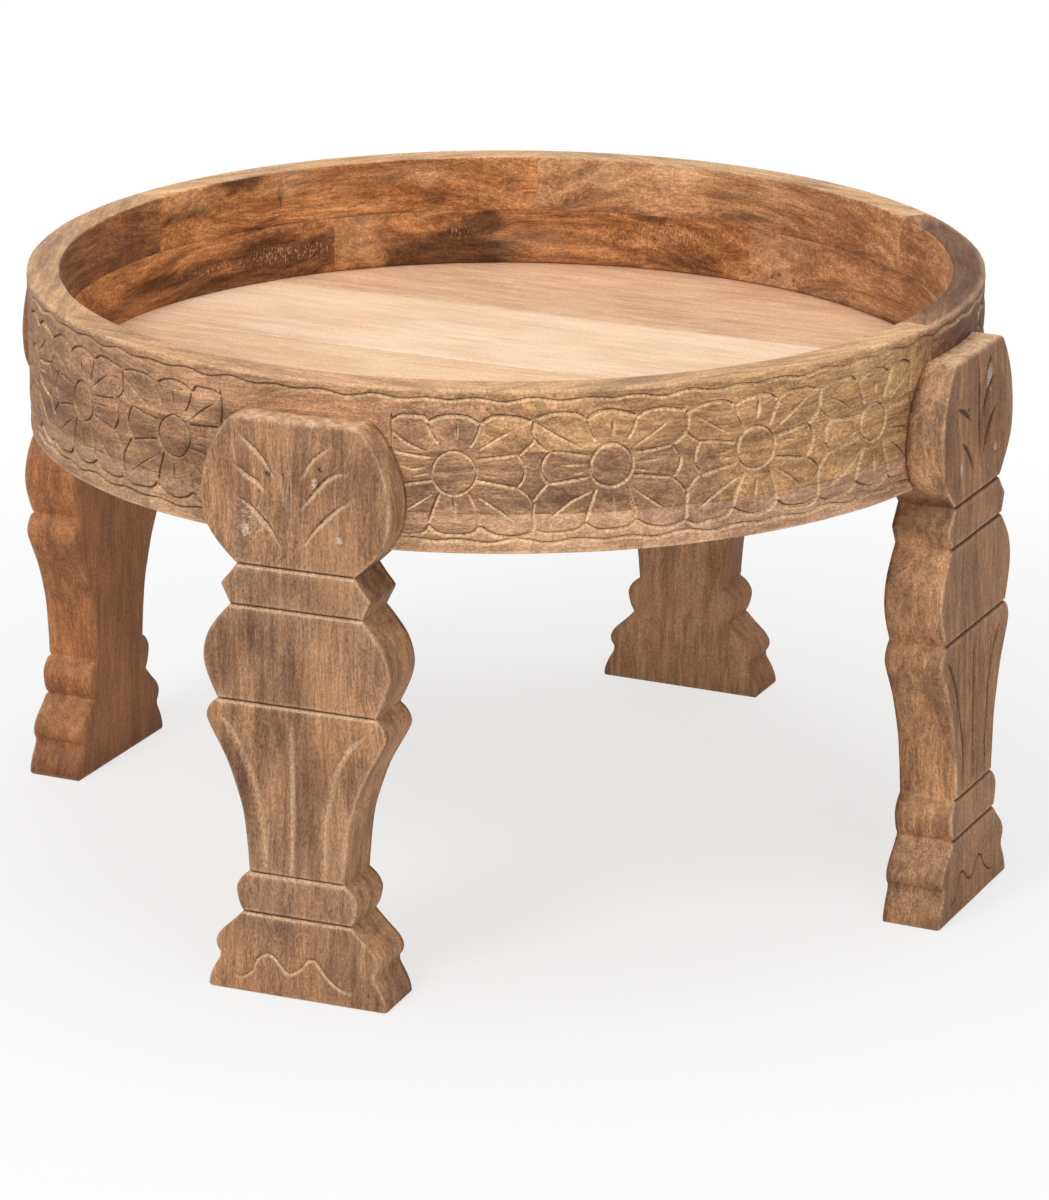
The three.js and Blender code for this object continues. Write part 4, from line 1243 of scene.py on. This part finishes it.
def leg_front_cuts(y, z, carving):
    """The depth of what is cut in a leg's front at each point, y to the right and z up, that depth as a
    share, which sets the painted shade and dark wax of a cut and is full in the nail holes, and how much
    painted highlight and pale dust lie on its slopes, with pale dust in the flutes: level V grooves between
    the members, and the deepest of the carved strokes. Nail holes are pits with a flat bottom."""
    strokes, side, stroke_width, paleness, seed = carving
    hand = np.random.default_rng(seed)
    drop = z - RIM_TOP
    depth = np.zeros(y.shape)
    for groove in LEG_GROOVES:
        depth = np.maximum(depth, GROOVE_DEPTH * np.clip(1 - np.abs(z - groove) / GROOVE_HALF, 0, 1))
    dusted = np.zeros(y.shape)
    jobs = [(line, stroke_width, SPRIG_STEEPNESS * stroke_width, SPRIG_RUN_OUT, 0.0) for line in strokes]
    jobs += [(line, *FLUTE_CUT) for line in FLUTES]
    jobs += [(line, *WAVE_CUT) for line in FOOT_WAVE]
    for line, width, cut_depth, run_out, dusty in jobs:
        points = np.array(line, float) * [side, 1] + hand.normal(0, 0.4, (len(line), 2))
        points = smooth_line(points, 4) * MM
        low, high = points[:, 1].min() - LEG_STROKE_WINDOW, points[:, 1].max() + LEG_STROKE_WINDOW
        rows = np.flatnonzero((drop[:, 0] > low) & (drop[:, 0] < high))
        width, cut_depth = np.array([width, cut_depth]) * hand.uniform(0.9, 1.15) * MM
        distance, along = distance_to_line(y[rows], drop[rows], points)
        bite = chisel_cut(distance, along, width, cut_depth, run_out)
        depth[rows] = np.maximum(depth[rows], bite)
        dusted[rows] = np.maximum(dusted[rows], dusty * np.clip(1.3 * bite / cut_depth - 0.3, 0, 0.6))
    pits = np.zeros(y.shape)
    for nail_y, nail_drop in NAIL_PLACES:
        distance = np.hypot(y - nail_y * MM, drop - nail_drop * MM)
        pits = np.maximum(pits, np.clip((NAIL_HOLE - distance) / NAIL_HOLE_BLEND, 0, 1))
    upward = np.gradient(depth, axis=0) / np.gradient(drop[:, 0])[:, None]
    sideways = np.gradient(depth, axis=1) / np.gradient(y, axis=1).clip(0.0002)
    # Painted highlight with pale dust: slopes that face up, and more those that face left towards the key
    # lamp, are made paler.
    lit = np.clip(1.1 * upward + 0.6 * np.abs(sideways) - 0.25 * sideways, 0, 1)
    # The nail holes take the full painted shade of a cut.
    cut = np.clip(np.maximum(depth / LEG_DARK_DEPTH, 1.4 * pits), 0, 1.4)
    return np.maximum(depth, NAIL_HOLE_DEPTH * pits), cut, paleness * np.maximum(lit, dusted)


def soft_spots(y, drop, spots):
    """How much each point of a leg's front lies in soft spots: for each, its strength times e to the minus
    the square of the distance in half axes, and the greatest of them."""
    mask = np.zeros(y.shape)
    for spot_y, spot_drop, half_width, half_height, strength in spots:
        distance = np.hypot((y / MM - spot_y) / half_width, (drop / MM - spot_drop) / half_height)
        mask = np.maximum(mask, strength * np.exp(-(distance**2)))
    return mask


def leg(place, seed):
    """Loops of the slab's section, from the sole up: the front face, an eased corner, one side, the back, and
    the other side. The half width follows the outline, and the front leans out towards the sole. Above the
    shoulder the back is the wall's circle, and below it lies one thickness behind the front."""
    draw = np.random.default_rng(seed)
    timber, film, side_paleness, rear_paleness_and_light = LEG_LOOKS[place]
    z = leg_rows()
    heights, widths = leg_half_width()
    half = np.interp(z, heights, widths)
    front = LEG_FRONT + LEG_SPLAY * (1 - z / LEG_HEIGHT)
    rise = np.clip((z - (LEG_HEIGHT - LEG_EASE)) / LEG_EASE, 0, 1) + np.clip((LEG_EASE - z) / LEG_EASE, 0, 1)
    inset = LEG_EASE * (1 - np.sqrt(np.clip(1 - rise**2, 0, 1)))
    half, front, z_column = half - inset, front - inset, z[:, None]
    coped = z_column > LEG_SHOULDER
    face = np.linspace(-1, 1, FACE_POINTS)
    round_turn = np.linspace(0, math.pi / 2, CORNER_POINTS)[1:-1]
    back_face = np.linspace(1, -1, BACK_POINTS)

    flat = (half - LEG_EASE)[:, None]
    wide = half[:, None]
    deep = front[:, None]
    bearing = np.sqrt(LEG_SEAT**2 - wide**2)
    rear = np.where(coped, bearing, deep - LEG_THICKNESS + inset[:, None])
    side_x = deep - LEG_EASE + (rear - deep + LEG_EASE) * np.linspace(0, 1, SIDE_POINTS)
    corner_x = deep - LEG_EASE + LEG_EASE * np.cos(round_turn)
    corner_y = flat + LEG_EASE * np.sin(round_turn)
    back_y = wide * back_face[1:-1]
    back_x = np.where(coped, np.sqrt(LEG_SEAT**2 - back_y**2), rear)
    ones = np.ones_like(side_x)
    x = np.hstack([deep + 0 * face, corner_x, side_x, back_x, side_x[:, ::-1], corner_x[:, ::-1]])
    y = np.hstack([flat * face, corner_y, wide * ones, back_y, -wide * ones, -corner_y[:, ::-1]])
    z_grid = np.broadcast_to(z_column, x.shape)
    forward = np.zeros(x.shape[1])
    forward[: len(face)] = 1
    forward[len(face): len(face) + len(round_turn)] = np.cos(round_turn)
    forward[-len(round_turn):] = np.cos(round_turn)[::-1]
    depth, cut, lit = leg_front_cuts(y, z_grid, LEG_CARVINGS[place])
    wave = np.sin(90 * z_grid + 50 * y + seed) + np.sin(170 * z_grid - 110 * y + 2 * seed)
    x = x - (depth + SCRAPER_SWELL * (1 + 0.5 * wave)) * forward

    edge_distance = np.where(forward > 0.5, wide - np.abs(y), np.abs(deep - x))
    off_back = x > rear + SIDE_MARGIN
    edge = 0.7 * np.exp(-((edge_distance / EDGE_REACH) ** 2)) * off_back
    ends = np.minimum(LEG_HEIGHT - z_grid, z_grid)
    edge = np.maximum(edge, 0.6 * np.exp(-((ends / END_REACH) ** 2)))
    edge = np.maximum(edge, 1.1 * (z_grid > LEG_HEIGHT - HEAD_SKIN))
    # Sides are rubbed pale, and paler still where they face up: painted highlight.
    upward = np.clip(-np.gradient(half, z), 0, 1)[:, None]
    pale_side_and_highlight = side_paleness * (0.55 + 0.45 * coped) + 0.22 * upward
    edge = np.maximum(edge, pale_side_and_highlight * (1 - forward) * off_back)
    groove_lip = np.min(np.abs(np.abs(z_grid[..., None] - np.array(LEG_GROOVES)) - LIP_PLACE), axis=-1)
    edge = np.maximum(edge, 0.35 * np.exp(-((groove_lip / LIP_REACH) ** 2)) * forward)
    # The back below the head is made paler: paler sawn wood, and painted light where it lies in the tray's
    # shade.
    edge = np.maximum(edge, rear_paleness_and_light * (x < rear + BACK_SKIN) * ~coped)
    dust = (film + 0.15 * np.sin(40 * z_grid + seed)) * forward
    # Darker towards the sole, most on the sides, and painted shade on the sides below the head.
    by_sole = 0.6 * np.clip((SOLE_DARKENING_TOP - z_grid) / SOLE_DARKENING_TOP, 0, 1) * (1 - 0.5 * forward)
    shade_below_head = 1.1 * np.exp(-(((z_grid - HEAD_SHADE_HEIGHT) / HEAD_SHADE_HALF) ** 2)) * (1 - forward)
    on_front = soft_spots(y, z_grid - RIM_TOP, LEG_STAINS[place]) * forward
    stain_and_shade = np.maximum(np.maximum(by_sole, shade_below_head), on_front)
    fleck = soft_spots(y, z_grid - RIM_TOP, FILLER_SPOTS[place]) * forward
    pith = draw.uniform([-0.4, -0.05, 0.10], [0.4, 0.05, 0.2])
    plank = np.stack([z_grid, y + 0.03 * z_grid * draw.uniform(-1, 1), x - LEG_FRONT], -1) + pith
    points = placed(x, y, z_grid, math.radians(LEG_TURNS[place]))
    notches = LEG_HEIGHT - np.cumsum([height for height, _, _ in LEG_MEMBERS])[:-1]
    creases = [int(np.argmin(np.abs(z - notch))) for notch in notches]
    marks = {"plank": plank, "cut": cut * forward, "lit": lit * forward, "edge": edge, "dust": dust}
    marks.update({"stain_and_shade": stain_and_shade, "fleck": fleck})
    piece = skin("carved_leg_" + place, points, marks, creases)
    piece.data.materials.append(timber)
    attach(piece, "root")
    return piece


# A leg's nails and screws keep their own shape and only take on this steel.
NAIL_STEEL = steel("nail_steel", (150, 144, 136), (70, 46, 32))

for seed, place in enumerate(LEG_TURNS):
    made = leg(place, 80 + seed)
    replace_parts(made, "leg_" + place)
    for pin in ("nail", "screw"):
        for side in ("left", "right"):
            pin_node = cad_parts[f"{pin}_{place}_{side}"]
            pin_node.data.materials.clear()
            pin_node.data.materials.append(NAIL_STEEL)

# The studio: a white floor that keeps the table's soft shadow, a large soft lamp up on the left in front,
# a low one in front and a little to the right, one overhead, and the photograph's camera.

FLOOR_HALF = 14.0
# The lamps: where each stands, what it shines at, how wide it is in metres, and its power in watts.
LAMPS = {
    "key_lamp": ((-1.6, -2.1, 3.0), (0, 0, 0.2), 1.1, 64),
    "fill_lamp": ((0.6, -3.4, 0.75), (0, 0, 0.2), 1.8, 46),
    "top_lamp": ((0.1, 0.2, 3.0), (0, 0, 0.3), 1.6, 38),
}

floor_mesh = bpy.data.meshes.new("studio_floor")
floor_corners = [(FLOOR_HALF * x, FLOOR_HALF * y, 0) for x, y in ((-1, -1), (1, -1), (1, 1), (-1, 1))]
floor_mesh.from_pydata(floor_corners, [], [(0, 1, 2, 3)])
studio_floor = bpy.data.objects.new("studio_floor", floor_mesh)
bpy.context.scene.collection.objects.link(studio_floor)


def seen_directly(tree):
    """1 for rays from the camera, off a mirror or through glass, and 0 for those that only bring light."""
    ray = add_node(tree, "ShaderNodeLightPath").outputs
    seen = sums(tree, "ADD", ray["Is Camera Ray"], ray["Is Glossy Ray"])
    return sums(tree, "ADD", seen, ray["Is Transmission Ray"], clamp=True)


floor_paint, tree, plain_shader = new_material("studio_floor_paint")
tree.nodes.remove(plain_shader)
matt = add_node(tree, "ShaderNodeBsdfDiffuse", {"Color": (0.78, 0.78, 0.78, 1), "Roughness": 0.0})
white = add_node(tree, "ShaderNodeEmission", {"Color": (1, 1, 1, 1), "Strength": 1.0})
away = vector_length(tree, add_node(tree, "ShaderNodeTexCoord").outputs["Object"])
share = sums(tree, "MULTIPLY", seen_directly(tree), span(tree, away, 0.30, 1.0, 0.72, 1.0))
mixed = add_node(tree, "ShaderNodeMixShader", {0: share, 1: matt.outputs[0], 2: white.outputs[0]})
tree.links.new(mixed.outputs[0], tree.nodes["Material Output"].inputs["Surface"])
floor_mesh.materials.append(floor_paint)

world = bpy.data.worlds.new("studio_air")
bpy.context.scene.world = world
world.use_nodes = True
tree = world.node_tree
tree.nodes.clear()
dim = add_node(tree, "ShaderNodeBackground", {"Color": (1, 1, 1, 1), "Strength": 0.3})
bright = add_node(tree, "ShaderNodeBackground", {"Color": (1, 1, 1, 1), "Strength": 1.0})
sockets = {0: seen_directly(tree), 1: dim.outputs[0], 2: bright.outputs[0]}
mixed = add_node(tree, "ShaderNodeMixShader", sockets)
tree.links.new(mixed.outputs[0], add_node(tree, "ShaderNodeOutputWorld").inputs["Surface"])


def soft_lamp(name, place, aim, size, power):
    """A square lamp at a place, turned so that it shines at its aim."""
    lamp = bpy.data.lights.new(name, "AREA")
    lamp.shape = "SQUARE"
    lamp.size = size
    lamp.energy = power
    holder = bpy.data.objects.new(name, lamp)
    holder.location = place
    direction = np.array(aim) - np.array(place)
    flat = math.hypot(direction[0], direction[1])
    holder.rotation_euler = (math.atan2(flat, -direction[2]), 0, math.atan2(-direction[0], direction[1]))
    bpy.context.scene.collection.objects.link(holder)


for name, facts in LAMPS.items():
    soft_lamp(name, *facts)

CAMERA_PLACE = (-0.01371, -2.94712, 1.13440)
CAMERA_TURN = 0.484
CAMERA_DIP = 18.452
CAMERA_ROLL = -0.08
CAMERA_LENS = 145.245

camera_data = bpy.data.cameras.new("camera")
camera_data.sensor_fit = "VERTICAL"
camera_data.sensor_height = 36.0
camera_data.lens = CAMERA_LENS
camera = bpy.data.objects.new("camera", camera_data)
camera.location = CAMERA_PLACE
camera.rotation_euler = (math.radians(90 - CAMERA_DIP), math.radians(CAMERA_ROLL), math.radians(-CAMERA_TURN))
bpy.context.scene.collection.objects.link(camera)
bpy.context.scene.camera = camera
bpy.context.scene.view_settings.view_transform = "Standard"
